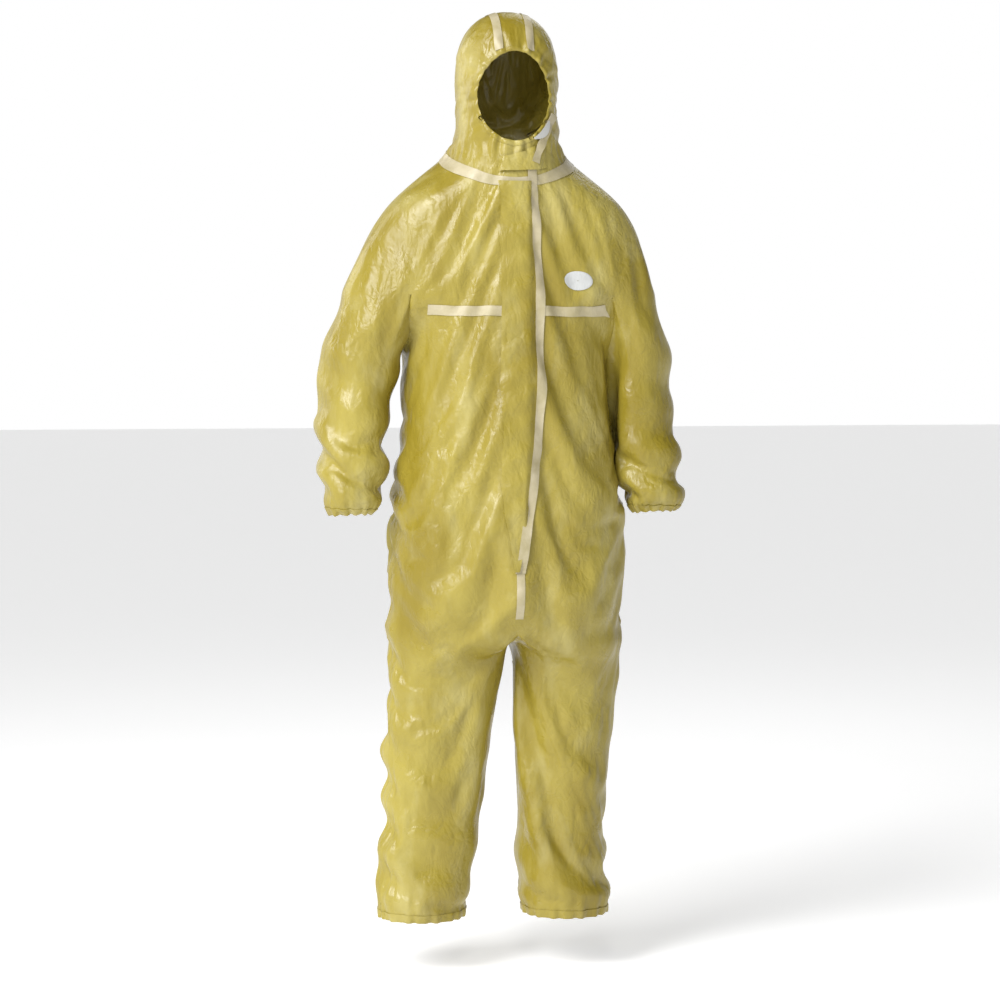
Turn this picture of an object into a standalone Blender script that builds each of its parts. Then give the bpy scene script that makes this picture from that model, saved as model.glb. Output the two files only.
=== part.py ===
"""Hooded chemical protective coverall with a zip front, storm flap, taped seams and elastic hems.

The suit stands as its wearer fills it: it faces -Y, +Z is up and +X is the wearer's left.
Lengths are metres. Heights in this file are above the floor that the wearer stands on; the
"wearer_floor" empty then puts the part's own origin between the wearer's shoulders.
Every fabric panel is a patch of a few surfaces (torso, sleeves, legs, hood), cut at the seams.
"""

from math import asin, ceil, cos, degrees, pi, radians, sin, tan

import bmesh
import bpy
from mathutils import Matrix, Vector

for old_object in list(bpy.data.objects):
    bpy.data.objects.remove(old_object, do_unlink=True)

# ---------------------------------------------------------------- driving dimensions
SHOULDER_HEIGHT = 1.500  # the part's origin, between the wearer's shoulders
FABRIC = 0.0020  # wall of each fabric panel
TAPE = 0.0010  # wall of seam tape and elastic
TAPE_LIFT = 0.0009  # seam tape floats this far above the fabric
TAPE_WIDTH = 0.019
SEAM_GAP = 0.0016  # between panels that are sewn together
HEM_HEIGHT = 0.100
CROTCH_HEIGHT = 0.665
PELVIS_HEIGHT = 0.760  # lower edge of the torso panels
CHEST_SEAM_HEIGHT = 1.290
NECK_HEIGHT = 1.575  # neck seam at the sides; it dips at the front and climbs at the nape
NECK_TILT = 0.30
WAIST_HEIGHT = 1.005

# The closure is straight: its line leans back as it climbs from the crotch to the throat.
FRONT_DEPTH = 0.2282  # the front's distance before the origin at floor height
FRONT_LEAN = 0.0703
ZIP_LOW = 0.800
ZIP_HIGH = 1.522

# Joint centres for the wearer's left side; the right side mirrors them.
SHOULDER = Vector((0.195, 0.0, 1.430))
ELBOW = Vector((0.2785, 0.010, 1.120))
HIP_HEIGHT = 0.700
KNEE_HEIGHT = 0.500
NECK = Vector((0.0, 0.0, 1.600))
ELBOW_BEND = radians(75)
KNEE_BEND = radians(70)
FOLD_CLEARANCE = 0.010  # between two rigid tubes on the side that doesn't close

THIGH_CENTRE = 0.117
ANKLE_CENTRE = {"right": 0.153, "left": 0.121}  # the right foot stands further out
SIDES = {"right": -1, "left": 1}
FRONT, OUTER, BACK, INNER, ROUND = 0, 90, 180, 270, 360

COLOURS = {
    "laminate": ((0.74, 0.64, 0.16, 1), 0.32, 0.0),
    "tape": ((0.86, 0.84, 0.78, 1), 0.40, 0.0),
    "elastic": ((0.82, 0.82, 0.80, 1), 0.80, 0.0),
    "adhesive": ((0.80, 0.79, 0.72, 1), 0.50, 0.0),
    "zip_fabric": ((0.80, 0.74, 0.36, 1), 0.75, 0.0),
    "zip_plastic": ((0.85, 0.80, 0.45, 1), 0.35, 0.0),
    "zip_metal": ((0.62, 0.62, 0.60, 1), 0.30, 1.0),
    "label": ((0.85, 0.87, 0.90, 1), 0.45, 0.0),
}


# ---------------------------------------------------------------- materials and placing
def make_material(name, colour, roughness, metallic):
    material = bpy.data.materials.new(name)
    material.use_nodes = True
    shader = material.node_tree.nodes["Principled BSDF"]
    shader.inputs["Base Color"].default_value = colour
    shader.inputs["Roughness"].default_value = roughness
    shader.inputs["Metallic"].default_value = metallic
    return material


MATERIALS = {name: make_material(name, *values) for name, values in COLOURS.items()}


class Joint:
    """A frame that pieces hang from: the matrix carries its own coordinates to floor heights."""

    def __init__(self, name, matrix, parent=None):
        self.matrix = matrix
        self.empty = bpy.data.objects.new(name, None)
        bpy.context.scene.collection.objects.link(self.empty)
        if parent:
            self.empty.parent = parent.empty
            self.empty.matrix_local = parent.matrix.inverted() @ matrix
        else:
            self.empty.location.z = -SHOULDER_HEIGHT

    def hold(self, obj):
        """Parents an object whose mesh is in floor heights, and moves its origin to the joint."""
        obj.data.transform(self.matrix.inverted())
        obj.parent = self.empty
        return obj


def new_object(name, material, mesh):
    obj = bpy.data.objects.new(name, mesh)
    bpy.context.scene.collection.objects.link(obj)
    mesh.materials.append(MATERIALS[material])
    return obj


def finish_bmesh(bm, name):
    mesh = bpy.data.meshes.new(name)
    bmesh.ops.recalc_face_normals(bm, faces=bm.faces)
    bm.to_mesh(mesh)
    bm.free()
    return mesh


def helper(obj):
    """Marks a cutter, which is never part of the suit."""
    obj.hide_render = True
    obj.display_type = "WIRE"
    return obj


def boolean(obj, other, operation):
    modifier = obj.modifiers.new(operation.title(), "BOOLEAN")
    modifier.operation = operation
    modifier.object = other
    modifier.solver = "EXACT"


# ---------------------------------------------------------------- fabric surfaces
def rounded(value, power):
    return (abs(value) ** (2 / power)) * (1 if value >= 0 else -1)


def oval(centre, across, front, back, power=2.0):
    """A ring as a function of its angle: 0 is the front, 90 the outer side, 180 the back."""

    def ring(angle):
        s, c = sin(radians(angle)), cos(radians(angle))
        deep = front if c >= 0 else back
        return centre + across * rounded(s, power) + deep * abs(rounded(c, power))

    return ring


class Surface:
    """Rings stacked from low to high, read at any level between them and at any angle."""

    def __init__(self, rings, heights, hand=1):
        self.rings, self.heights, self.hand = rings, heights, hand

    def level(self, height):
        """The level at which the surface's centre line has this height."""
        for i, (low, high) in enumerate(zip(self.heights, self.heights[1:])):
            if height <= high or i == len(self.heights) - 2:
                return i + (height - low) / (high - low)

    def point(self, level, angle):
        i = min(max(int(level), 0), len(self.rings) - 2)
        return self.rings[i](angle).lerp(self.rings[i + 1](angle), level - i)

    def normal(self, level, angle):
        step = 1e-3
        up = self.point(level + step, angle) - self.point(level - step, angle)
        round_it = self.point(level, angle + 1) - self.point(level, angle - 1)
        return round_it.cross(up).normalized() * self.hand

    def lifted(self, level, angle, lift):
        return self.point(level, angle) + self.normal(level, angle) * lift


def steps(low, high, count):
    return [low + (high - low) * i / count for i in range(count + 1)]


def row_levels(low, high):
    """The ends and every ring between them, so that pieces on the same surface bend together."""
    return [low, *range(ceil(low + 1e-6), ceil(high - 1e-6)), high]


def sheet_mesh(name, grid, closed, flip):
    """A sheet from rows of points; closed joins each row's end to its start."""
    bm = bmesh.new()
    rows = [[bm.verts.new(p) for p in row] for row in grid]
    for low, high in zip(rows, rows[1:]):
        pairs = list(zip(low, low[1:], high[1:], high))
        if closed:
            pairs.append((low[-1], low[0], high[0], high[-1]))
        for corners in pairs:
            bm.faces.new(corners[::-1] if flip else corners)
    mesh = bpy.data.meshes.new(name)
    bm.to_mesh(mesh)
    bm.free()
    return mesh


def thicken(obj, thickness, outward=-1):
    solid = obj.modifiers.new("Wall", "SOLIDIFY")
    solid.thickness = thickness
    solid.offset = outward
    solid.use_even_offset = True


def at_level(value, level):
    return value(level) if callable(value) else value


def panel(name, material, joint, surface, levels, angles, lift=0.0, wall=FABRIC, columns=12):
    """One piece of fabric, tape or elastic: part of a surface with a wall inside it."""
    low, high = levels
    whole = angles == (FRONT, ROUND)
    grid = []
    for level in row_levels(low, high):
        first, last = (at_level(a, level) for a in angles)
        row = [surface.lifted(level, a, lift) for a in steps(first, last, columns)]
        grid.append(row[:-1] if whole else row)
    mesh = sheet_mesh(name, grid, whole, surface.hand < 0)
    obj = joint.hold(new_object(name, material, mesh))
    thicken(obj, wall)
    return obj


# ---------------------------------------------------------------- torso surface
def front_depth(height, tilt):
    """How far a tilted ring reaches forward to end on the straight closure line."""
    return (FRONT_DEPTH - FRONT_LEAN * height) / (1 - FRONT_LEAN * tilt)


def torso_ring(height, half_width, back_depth, tilt, power):
    front = front_depth(height, tilt)
    return oval(
        Vector((0, 0, height)),
        Vector((half_width, 0, 0)),
        Vector((0, -front, -front * tilt)),
        Vector((0, back_depth, back_depth * tilt)),
        power,
    )


# height, half width, depth behind the origin, tilt, squareness
TORSO_RINGS = (
    (PELVIS_HEIGHT, 0.222, 0.150, 0.00, 2.4),
    (0.850, 0.223, 0.156, 0.00, 2.4),
    (0.930, 0.219, 0.156, 0.00, 2.4),
    (WAIST_HEIGHT, 0.212, 0.150, 0.00, 2.4),
    (1.100, 0.203, 0.146, 0.00, 2.4),
    (1.200, 0.199, 0.150, 0.00, 2.4),
    (CHEST_SEAM_HEIGHT, 0.197, 0.154, 0.00, 2.4),
    (1.380, 0.200, 0.152, 0.02, 2.5),
    (1.450, 0.204, 0.142, 0.05, 2.6),
    (1.500, 0.202, 0.128, 0.10, 2.5),
    (1.528, 0.190, 0.116, 0.16, 2.4),
    (1.552, 0.158, 0.104, 0.23, 2.3),
    (NECK_HEIGHT, 0.118, 0.092, NECK_TILT, 2.2),
)
TORSO = Surface([torso_ring(*r) for r in TORSO_RINGS], [r[0] for r in TORSO_RINGS])


def front_angle(x):
    """The angle on the torso's front at which it is this far from the centre line, by level."""

    def angle(level):
        i = min(int(level), len(TORSO_RINGS) - 2)
        share = level - i
        width = TORSO_RINGS[i][1] * (1 - share) + TORSO_RINGS[i + 1][1] * share
        power = TORSO_RINGS[i][4] * (1 - share) + TORSO_RINGS[i + 1][4] * share
        return degrees(asin(min(1, (abs(x) / width) ** (power / 2)))) * (1 if x >= 0 else -1)

    return angle


ARMHOLE_HEIGHT, ARMHOLE_RADIUS = 1.4245, 0.1000


def torso_side(side, y, height):
    """The torso's side surface straight out along X from this depth and height."""
    i = next(k for k, row in enumerate(TORSO_RINGS[1:]) if height <= row[0] or k == len(TORSO_RINGS) - 2)
    share = (height - TORSO_RINGS[i][0]) / (TORSO_RINGS[i + 1][0] - TORSO_RINGS[i][0])
    low, high = TORSO_RINGS[i], TORSO_RINGS[i + 1]
    width, back, tilt, power = (a + (b - a) * share for a, b in zip(low[1:], high[1:]))
    deep = back if y > 0 else front_depth(height, tilt)
    return Vector((side * width * (1 - min(abs(y) / deep, 1) ** power) ** (1 / power), y, height))


def armhole_ring(side, clear):
    """The circle that the drum cuts, laid on the torso's surface and made smaller by a gap."""

    def ring(angle):
        reach = ARMHOLE_RADIUS - clear
        y, height = -cos(radians(angle)) * reach, ARMHOLE_HEIGHT + sin(radians(angle)) * reach
        return torso_side(side, y, height) + Vector((side * clear, 0, 0))

    return ring


# ---------------------------------------------------------------- limb surfaces
def mirrored(vector, side):
    return Vector((vector[0] * side, vector[1], vector[2]))


def sleeve_ring(side, outer, inner, y, depth, front_drop=0.0):
    """A sleeve's ring from its outer and inner points, each an x and a height."""
    out = Vector((outer[0], y, outer[1]))
    into = Vector((inner[0], y, inner[1]))
    deep = Vector((0, -depth, -front_drop))
    return oval(mirrored((out + into) / 2, side), mirrored((out - into) / 2, side), deep, -deep)


def rim_height(depth, bend):
    """How far each rim stands back from the joint where a limb closes, so that they don't meet."""
    return depth * tan(bend / 2) + FOLD_CLEARANCE / 2


def sleeve_surface(side):
    """From the cuff up: the elbow's rims tilt apart at the front, where the sleeve folds."""
    depth = 0.082
    closing = rim_height(depth, ELBOW_BEND)
    rise = (closing + FOLD_CLEARANCE) / 2
    drop = (closing - FOLD_CLEARANCE) / 2
    x, y, z = ELBOW
    rows = (
        ((0.334, 0.893), (0.250, 0.897), -0.036, 0.044, 0.0),
        ((0.350, 0.925), (0.236, 0.930), -0.032, 0.062, 0.0),
        ((0.352, 0.970), (0.230, 0.975), -0.022, 0.071, 0.0),
        ((0.350, 1.025), (0.224, 1.030), -0.008, 0.077, 0.0),
        ((x + 0.064, z - rise), (x - 0.062, z - rise), y, depth, drop),
        ((x + 0.063, z + rise), (x - 0.064, z + rise), y, depth, -drop),
        ((0.336, 1.215), (0.2115, 1.205), 0.008, 0.086, 0.0),
        ((0.329, 1.262), (0.2105, 1.248), 0.004, 0.090, 0.0),
        ((0.309, 1.330), (0.2100, 1.296), 0.002, 0.093, 0.0),
        ((0.278, 1.420), (0.2080, 1.322), 0.000, 0.096, 0.0),
        ((0.246, 1.496), (0.2060, 1.330), 0.000, 0.096, 0.0),
        ((0.220, 1.517), (0.2040, 1.331), 0.000, 0.097, 0.0),
    )
    rings = [sleeve_ring(side, *row) for row in rows] + [armhole_ring(side, 0.0018)]
    return Surface(rings, [(row[0][1] + row[1][1]) / 2 for row in rows] + [ARMHOLE_HEIGHT], side)


CUFF, ELBOW_LOW, ELBOW_HIGH, ARM_TOP, ARMHOLE = 0, 4, 5, 7, 12


def leg_centre(name, height):
    """The leg leans from the thigh out to the ankle."""
    share = (CROTCH_HEIGHT - height) / (CROTCH_HEIGHT - HEM_HEIGHT)
    return THIGH_CENTRE + (ANKLE_CENTRE[name] - THIGH_CENTRE) * min(max(share, 0), 1)


def leg_ring(name, height, half_width, half_depth, back_drop=0.0):
    side = SIDES[name]
    centre = Vector((leg_centre(name, height) * side, 0.004, height))
    deep = Vector((0, half_depth, -back_drop))
    return oval(centre, Vector((half_width * side, 0, 0)), -deep, deep, 2.1)


def seat_ring(side):
    """Where a leg joins the torso: half the pelvis ring, then back along the crotch seam."""
    clear = 0.0012

    def ring(angle):
        angle = angle % ROUND
        if angle <= BACK:
            place = TORSO.point(0, angle)
            return Vector(((max(place.x, 0) + clear) * side, place.y, place.z - SEAM_GAP))
        share = (angle - BACK) / BACK
        front, back = TORSO.point(0, FRONT).y, TORSO.point(0, BACK).y
        sag = sin(pi * share) ** 0.6 * (PELVIS_HEIGHT - CROTCH_HEIGHT)
        return Vector((clear * side, back + (front - back) * share, PELVIS_HEIGHT - SEAM_GAP - sag))

    return ring


def leg_surface(name):
    """From the hem up: the knee's rims tilt apart at the back, where the leg folds."""
    depth = 0.106
    closing = rim_height(depth, KNEE_BEND)
    rise = (closing + FOLD_CLEARANCE) / 2
    drop = (closing - FOLD_CLEARANCE) / 2
    rows = (
        (HEM_HEIGHT, 0.089, 0.092, 0.0),
        (HEM_HEIGHT + 0.028, 0.097, 0.100, 0.0),
        (0.210, 0.0985, 0.102, 0.0),
        (0.330, 0.0975, 0.104, 0.0),
        (KNEE_HEIGHT - rise, 0.099, depth, drop),
        (KNEE_HEIGHT + rise, 0.104, depth, -drop),
        (0.645, 0.1095, 0.113, 0.0),
    )
    rings = [leg_ring(name, *row) for row in rows] + [seat_ring(SIDES[name])]
    heights = [row[0] for row in rows] + [PELVIS_HEIGHT]
    return Surface(rings, heights, SIDES[name])


HEM, KNEE_LOW, KNEE_HIGH, LEG_TOP, SEAT = 0, 4, 5, 6, 7

# ---------------------------------------------------------------- hood surface
NECK_RING = TORSO_RINGS[-1]
HOOD_LOW = 1.620  # the hood's own lower edge; the neck fold is below it


def hood_ring(height, half_width, front, back, tilt, power=2.1):
    return oval(
        Vector((0, 0, height)),
        Vector((half_width, 0, 0)),
        Vector((0, -front, -front * tilt)),
        Vector((0, back, back * tilt)),
        power,
    )


NECK_FRONT = front_depth(NECK_HEIGHT, NECK_TILT)
HOOD_RINGS = (
    (NECK_HEIGHT + SEAM_GAP, NECK_RING[1], NECK_FRONT, NECK_RING[2], NECK_TILT),
    (1.598, 0.109, 0.117, 0.094, 0.30),
    (HOOD_LOW, 0.104, 0.114, 0.098, 0.30),
    (1.655, 0.101, 0.112, 0.107, 0.18),
    (1.690, 0.101, 0.112, 0.116, 0.06),
    (1.730, 0.103, 0.113, 0.123, 0.00),
    (1.768, 0.101, 0.111, 0.125, 0.00),
    (1.803, 0.092, 0.103, 0.118, 0.00),
    (1.833, 0.073, 0.084, 0.098, 0.00),
    (1.853, 0.048, 0.056, 0.067, 0.00),
    (1.863, 0.020, 0.024, 0.029, 0.00),
)
HOOD = Surface([hood_ring(*r) for r in HOOD_RINGS], [r[0] for r in HOOD_RINGS])
HOOD_SEAM = 0.031  # the centre panel's half width
FACE_HEIGHT, FACE_HALF_WIDTH, FACE_HALF_HEIGHT = 1.703, 0.069, 0.083
HOOD_MARGIN = 0.30  # cutters reach this far past the hood

# ---------------------------------------------------------------- joints
FLOOR = Joint("wearer_floor", Matrix.Identity(4))
ZIP_UP = Vector((0, FRONT_LEAN, 1)).normalized()
ZIP_OUT = Vector((0, -1, FRONT_LEAN)).normalized()
ZIP_LENGTH = (ZIP_HIGH - ZIP_LOW) / ZIP_UP.z


def zip_frame(x, along, out):
    """A frame on the closure: its X is the suit's, its Y runs up the zip and its Z points out."""
    base = Vector((0, FRONT_LEAN * ZIP_LOW - FRONT_DEPTH, ZIP_LOW))
    place = base + Vector((x, 0, 0)) + ZIP_UP * along + ZIP_OUT * out
    axes = Matrix((Vector((1, 0, 0)), ZIP_UP, ZIP_OUT)).transposed().to_4x4()
    return Matrix.Translation(place) @ axes


ZIP = Joint("zip", zip_frame(0, 0, 0), FLOOR)


# ---------------------------------------------------------------- torso pieces
def armhole_cutter(name, side):
    """The drum that opens a shoulder, through which the arm reaches its sleeve."""
    bm = bmesh.new()
    turn = Matrix.Rotation(pi / 2, 4, "Y")
    place = Matrix.Translation((side * SHOULDER.x, 0, ARMHOLE_HEIGHT))
    bmesh.ops.create_cone(
        bm,
        cap_ends=True,
        segments=28,
        radius1=ARMHOLE_RADIUS,
        radius2=ARMHOLE_RADIUS,
        depth=2 * ARMHOLE_RADIUS,
        matrix=place @ turn,
    )
    return helper(FLOOR.hold(new_object(name, "laminate", finish_bmesh(bm, name))))


SLIT = 0.0070  # each front panel's edge to the zip's centre
SIDE_GAP = 0.25  # degrees left open at a side seam


def side_span(side, near, far):
    """Two angles, or functions of the level, in the order that runs from the right to the left."""
    return (near, far) if side > 0 else (far, near)


def make_torso():
    low, chest, top = 0, TORSO.level(CHEST_SEAM_HEIGHT), TORSO.level(NECK_HEIGHT)
    below, above = (low, chest - 0.010), (chest + 0.010, top)
    for name, side in SIDES.items():
        front = side_span(side, front_angle(SLIT * side), (OUTER - SIDE_GAP) * side)
        back = (OUTER + SIDE_GAP, BACK - SIDE_GAP) if side > 0 else (BACK + SIDE_GAP, INNER - SIDE_GAP)
        panel(f"front_panel_{name}", "laminate", FLOOR, TORSO, below, front, columns=10)
        panel(f"back_panel_{name}", "laminate", FLOOR, TORSO, below, back, columns=10)
        yoke = panel(f"front_yoke_{name}", "laminate", FLOOR, TORSO, above, front, columns=8)
        boolean(yoke, armhole_cutter(f"armhole_{name}", side), "DIFFERENCE")
    behind = (OUTER + SIDE_GAP, INNER - SIDE_GAP)
    back_yoke = panel("back_yoke", "laminate", FLOOR, TORSO, above, behind, columns=20)
    for name in SIDES:
        boolean(back_yoke, bpy.data.objects[f"armhole_{name}"], "DIFFERENCE")


TAPE_START = {"right": 0.036, "left": 0.060}  # each chest tape ends short of the flap
INSIDE = -(FABRIC + 0.0008)  # an elastic is sewn to the fabric's inner face


def tape(name, surface, levels, angles, columns, joint=FLOOR):
    """A strip welded over a seam, outside the fabric."""
    panel(name, "tape", joint, surface, levels, angles, TAPE_LIFT + TAPE, TAPE, columns)


def make_body_tapes():
    """Welded tape over the seams, and the elastic inside the back of the waist."""
    chest, top = TORSO.level(CHEST_SEAM_HEIGHT), TORSO.level(NECK_HEIGHT)
    band = TORSO.level(CHEST_SEAM_HEIGHT + TAPE_WIDTH / 2) - chest
    across = (chest - band, chest + band)
    for name, side in SIDES.items():
        ends = side_span(side, front_angle(side * TAPE_START[name]), OUTER * side * 0.93)
        tape(f"chest_tape_{name}", TORSO, across, ends, columns=8)
    tape("back_yoke_tape", TORSO, across, (OUTER * 1.07, INNER - OUTER * 0.07), columns=24)
    half = 3.6  # degrees of the back that half a tape covers
    tape("back_centre_tape", TORSO, (0.05, chest - band - 0.02), (BACK - half, BACK + half), columns=2)
    tape("neck_tape", TORSO, (top - 0.62, top - 0.03), (FRONT, ROUND), columns=36)
    waist = (TORSO.level(WAIST_HEIGHT - 0.011), TORSO.level(WAIST_HEIGHT + 0.011))
    behind = (OUTER * 1.1, INNER - OUTER * 0.1)
    panel("waist_elastic", "elastic", FLOOR, TORSO, waist, behind, INSIDE, TAPE, columns=16)


def make_label():
    """A plain oval patch on the wearer's left breast."""
    centre_x, centre_height, half_width, half_height = 0.132, 1.345, 0.031, 0.019
    rings, points = 2, 20
    bm = bmesh.new()

    def place(share, angle):
        height = centre_height + sin(angle) * half_height * share
        level = TORSO.level(height)
        x = centre_x + cos(angle) * half_width * share
        return TORSO.lifted(level, front_angle(x)(level), TAPE_LIFT + TAPE)

    middle = bm.verts.new(place(0, 0))
    turns = [2 * pi * k / points for k in range(points)]
    rows = [[bm.verts.new(place(r / rings, turn)) for turn in turns] for r in range(1, rings + 1)]
    for k in range(points):
        bm.faces.new((middle, rows[0][k], rows[0][k - points + 1]))
        for near, far in zip(rows, rows[1:]):
            bm.faces.new((near[k], far[k], far[k - points + 1], near[k - points + 1]))
    mesh = bpy.data.meshes.new("chest_label")
    bm.to_mesh(mesh)
    bm.free()
    thicken(FLOOR.hold(new_object("chest_label", "label", mesh)), TAPE)


# ---------------------------------------------------------------- limbs
WHOLE = (FRONT, ROUND)
FOLD_GAP = 0.03  # in levels, between a fold and the tubes that it joins


def tube(name, joint, surface, levels, columns=20):
    panel(name, "laminate", joint, surface, levels, WHOLE, columns=columns)


def make_sleeve(name):
    side = SIDES[name]
    surface = sleeve_surface(side)
    arm = Joint(f"shoulder_{name}", Matrix.Translation(mirrored(SHOULDER, side)), FLOOR)
    fore = Joint(f"elbow_{name}", Matrix.Translation(mirrored(ELBOW, side)), arm)
    tube(f"shoulder_fold_{name}", FLOOR, surface, (ARM_TOP + FOLD_GAP, ARMHOLE))
    tube(f"upper_sleeve_{name}", arm, surface, (ELBOW_HIGH, ARM_TOP))
    tube(f"elbow_fold_{name}", arm, surface, (ELBOW_LOW + FOLD_GAP, ELBOW_HIGH - FOLD_GAP))
    tube(f"forearm_sleeve_{name}", fore, surface, (CUFF, ELBOW_LOW))
    panel(f"cuff_elastic_{name}", "elastic", fore, surface, (0.05, 0.40), WHOLE, INSIDE, TAPE, columns=20)


def make_leg(name):
    side = SIDES[name]
    surface = leg_surface(name)
    hip_place = Vector((THIGH_CENTRE * side, 0, HIP_HEIGHT))
    knee_place = Vector((leg_centre(name, KNEE_HEIGHT) * side, 0, KNEE_HEIGHT))
    thigh = Joint(f"hip_{name}", Matrix.Translation(hip_place), FLOOR)
    shin = Joint(f"knee_{name}", Matrix.Translation(knee_place), thigh)
    tube(f"hip_fold_{name}", FLOOR, surface, (LEG_TOP + FOLD_GAP, SEAT), columns=24)
    tube(f"thigh_{name}", thigh, surface, (KNEE_HIGH, LEG_TOP))
    tube(f"knee_fold_{name}", thigh, surface, (KNEE_LOW + FOLD_GAP, KNEE_HIGH - FOLD_GAP))
    tube(f"shin_{name}", shin, surface, (HEM, KNEE_LOW))
    panel(f"ankle_elastic_{name}", "elastic", shin, surface, (0.08, 0.50), WHOLE, INSIDE, TAPE, columns=20)
    half = 5.5  # degrees of the leg that half a tape covers
    tape(f"inseam_tape_{name}", surface, (1.1, KNEE_LOW - 0.15), (INNER - half, INNER + half), 2, shin)


# ---------------------------------------------------------------- hood
def box_mesh(name, low, high):
    bm = bmesh.new()
    size = [b - a for a, b in zip(low, high)]
    middle = [(a + b) / 2 for a, b in zip(low, high)]
    bmesh.ops.create_cube(bm, size=1, matrix=Matrix.Translation(middle) @ Matrix.Diagonal((*size, 1)))
    return finish_bmesh(bm, name)


def dome_mesh(name, lift, wall):
    """The whole hood as a closed shell above its lower edge, with a capped crown."""
    columns = 28
    low, high = HOOD.level(HOOD_LOW), len(HOOD_RINGS) - 1
    bm = bmesh.new()
    grids = []
    for depth in (lift, lift - wall):
        grid = [
            [bm.verts.new(HOOD.lifted(level, ROUND * k / columns, depth)) for k in range(columns)]
            for level in row_levels(low, high)
        ]
        for lower, upper in zip(grid, grid[1:]):
            for k in range(columns):
                bm.faces.new((lower[k - 1], lower[k], upper[k], upper[k - 1]))
        bm.faces.new(grid[-1])
        grids.append(grid)
    outer, inner = grids
    for k in range(columns):
        bm.faces.new((outer[0][k - 1], outer[0][k], inner[0][k], inner[0][k - 1]))
    return finish_bmesh(bm, name)


def face_cutter(name):
    """The oval drum that opens the hood for the face."""
    bm = bmesh.new()
    turn = Matrix.Rotation(pi / 2, 4, "X")
    size = Matrix.Diagonal((FACE_HALF_WIDTH, FACE_HALF_HEIGHT, 1, 1))
    place = Matrix.Translation((0, -HOOD_MARGIN / 2, FACE_HEIGHT))
    drum = place @ turn @ size
    bmesh.ops.create_cone(
        bm, cap_ends=True, segments=32, radius1=1, radius2=1, depth=HOOD_MARGIN, matrix=drum
    )
    return helper(FLOOR.hold(new_object(name, "laminate", finish_bmesh(bm, name))))


def hood_slab(name, x_low, x_high):
    low = (x_low, -HOOD_MARGIN, HOOD_LOW - HOOD_MARGIN)
    high = (x_high, HOOD_MARGIN, HOOD_LOW + HOOD_MARGIN)
    return helper(FLOOR.hold(new_object(name, "laminate", box_mesh(name, low, high))))


def make_hood():
    hood = Joint("neck", Matrix.Translation(NECK), FLOOR)
    face = face_cutter("face_opening")
    half_gap = SEAM_GAP / 2
    tape_low, tape_high = HOOD_SEAM - TAPE_WIDTH / 2, HOOD_SEAM + TAPE_WIDTH / 2
    wide = 0.2
    slabs = {
        "hood_centre_panel": (-HOOD_SEAM + half_gap, HOOD_SEAM - half_gap, 0, FABRIC, "laminate"),
        "hood_side_right": (-wide, -HOOD_SEAM - half_gap, 0, FABRIC, "laminate"),
        "hood_side_left": (HOOD_SEAM + half_gap, wide, 0, FABRIC, "laminate"),
        "hood_tape_right": (-tape_high, -tape_low, TAPE_LIFT + TAPE, TAPE, "tape"),
        "hood_tape_left": (tape_low, tape_high, TAPE_LIFT + TAPE, TAPE, "tape"),
    }
    for name, (x_low, x_high, lift, wall, material) in slabs.items():
        obj = hood.hold(new_object(name, material, dome_mesh(name, lift, wall)))
        boolean(obj, hood_slab(f"{name}_slab", x_low, x_high), "INTERSECT")
        boolean(obj, face, "DIFFERENCE")
        trim_below_face(obj, name)
    make_face_elastic(hood)
    tube("neck_fold", FLOOR, HOOD, (FOLD_GAP, HOOD.level(HOOD_LOW) - 2 * FOLD_GAP), columns=28)
    return hood


def trim_below_face(obj, name):
    """Under the face the side panels meet in the middle, so the centre panel stops at the brow."""
    if name == "hood_centre_panel" or name.startswith("hood_tape"):
        low = (-0.2, -HOOD_MARGIN, HOOD_LOW - 0.1)
        high = (0.2, -0.02, FACE_HEIGHT)
        chin = helper(FLOOR.hold(new_object(f"{name}_chin_cut", "laminate", box_mesh(name, low, high))))
        boolean(obj, chin, "DIFFERENCE")


def make_face_elastic(hood):
    """A round elastic just behind the rim of the face opening."""
    points = 32
    radius = 0.0016
    curve = bpy.data.curves.new("face_elastic", "CURVE")
    curve.dimensions = "3D"
    curve.bevel_depth = radius
    curve.bevel_resolution = 1
    spline = curve.splines.new("POLY")
    spline.points.add(points - 1)
    spline.use_cyclic_u = True
    for k, point in enumerate(spline.points):
        turn = 2 * pi * k / points
        x = cos(turn) * (FACE_HALF_WIDTH + 0.004)
        height = FACE_HEIGHT + sin(turn) * (FACE_HALF_HEIGHT + 0.004)
        place = on_hood_front(x, height, -(FABRIC + radius + 0.0012))
        point.co = (*(hood.matrix.inverted() @ place), 1)
    obj = bpy.data.objects.new("face_elastic", curve)
    bpy.context.scene.collection.objects.link(obj)
    curve.materials.append(MATERIALS["elastic"])
    obj.parent = hood.empty


def on_hood_front(x, height, lift):
    """The point on the hood's front at this x and height, found by walking the level and angle."""
    level, angle = HOOD.level(height), 0.0
    for _ in range(30):
        place = HOOD.point(level, angle)
        level += (height - place.z) / 0.035
        angle += (x - place.x) / 0.0022
    return HOOD.lifted(level, angle, lift)


# ---------------------------------------------------------------- closure
def zip_box(name, material, joint, low, high):
    """A box given in the zip's own frame: across, along and out of the suit."""
    mesh = box_mesh(name, low, high)
    mesh.transform(ZIP.matrix)
    return joint.hold(new_object(name, material, mesh))


TEETH_NEAR, TEETH_FAR = 0.0007, 0.0027  # a row's edges, from the zip's centre line
TEETH_BACK, TEETH_FRONT = -0.0042, -0.0018
TAPE_EDGE = 0.0145
STOP_LENGTH = 0.005
CLEAR = 0.0005
SLIDER_LENGTH = 0.014
SLIDER_HALF_WIDTH = 0.0052
PULL_OUT = 0.0035  # the pull's pin, in front of the fabric


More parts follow.
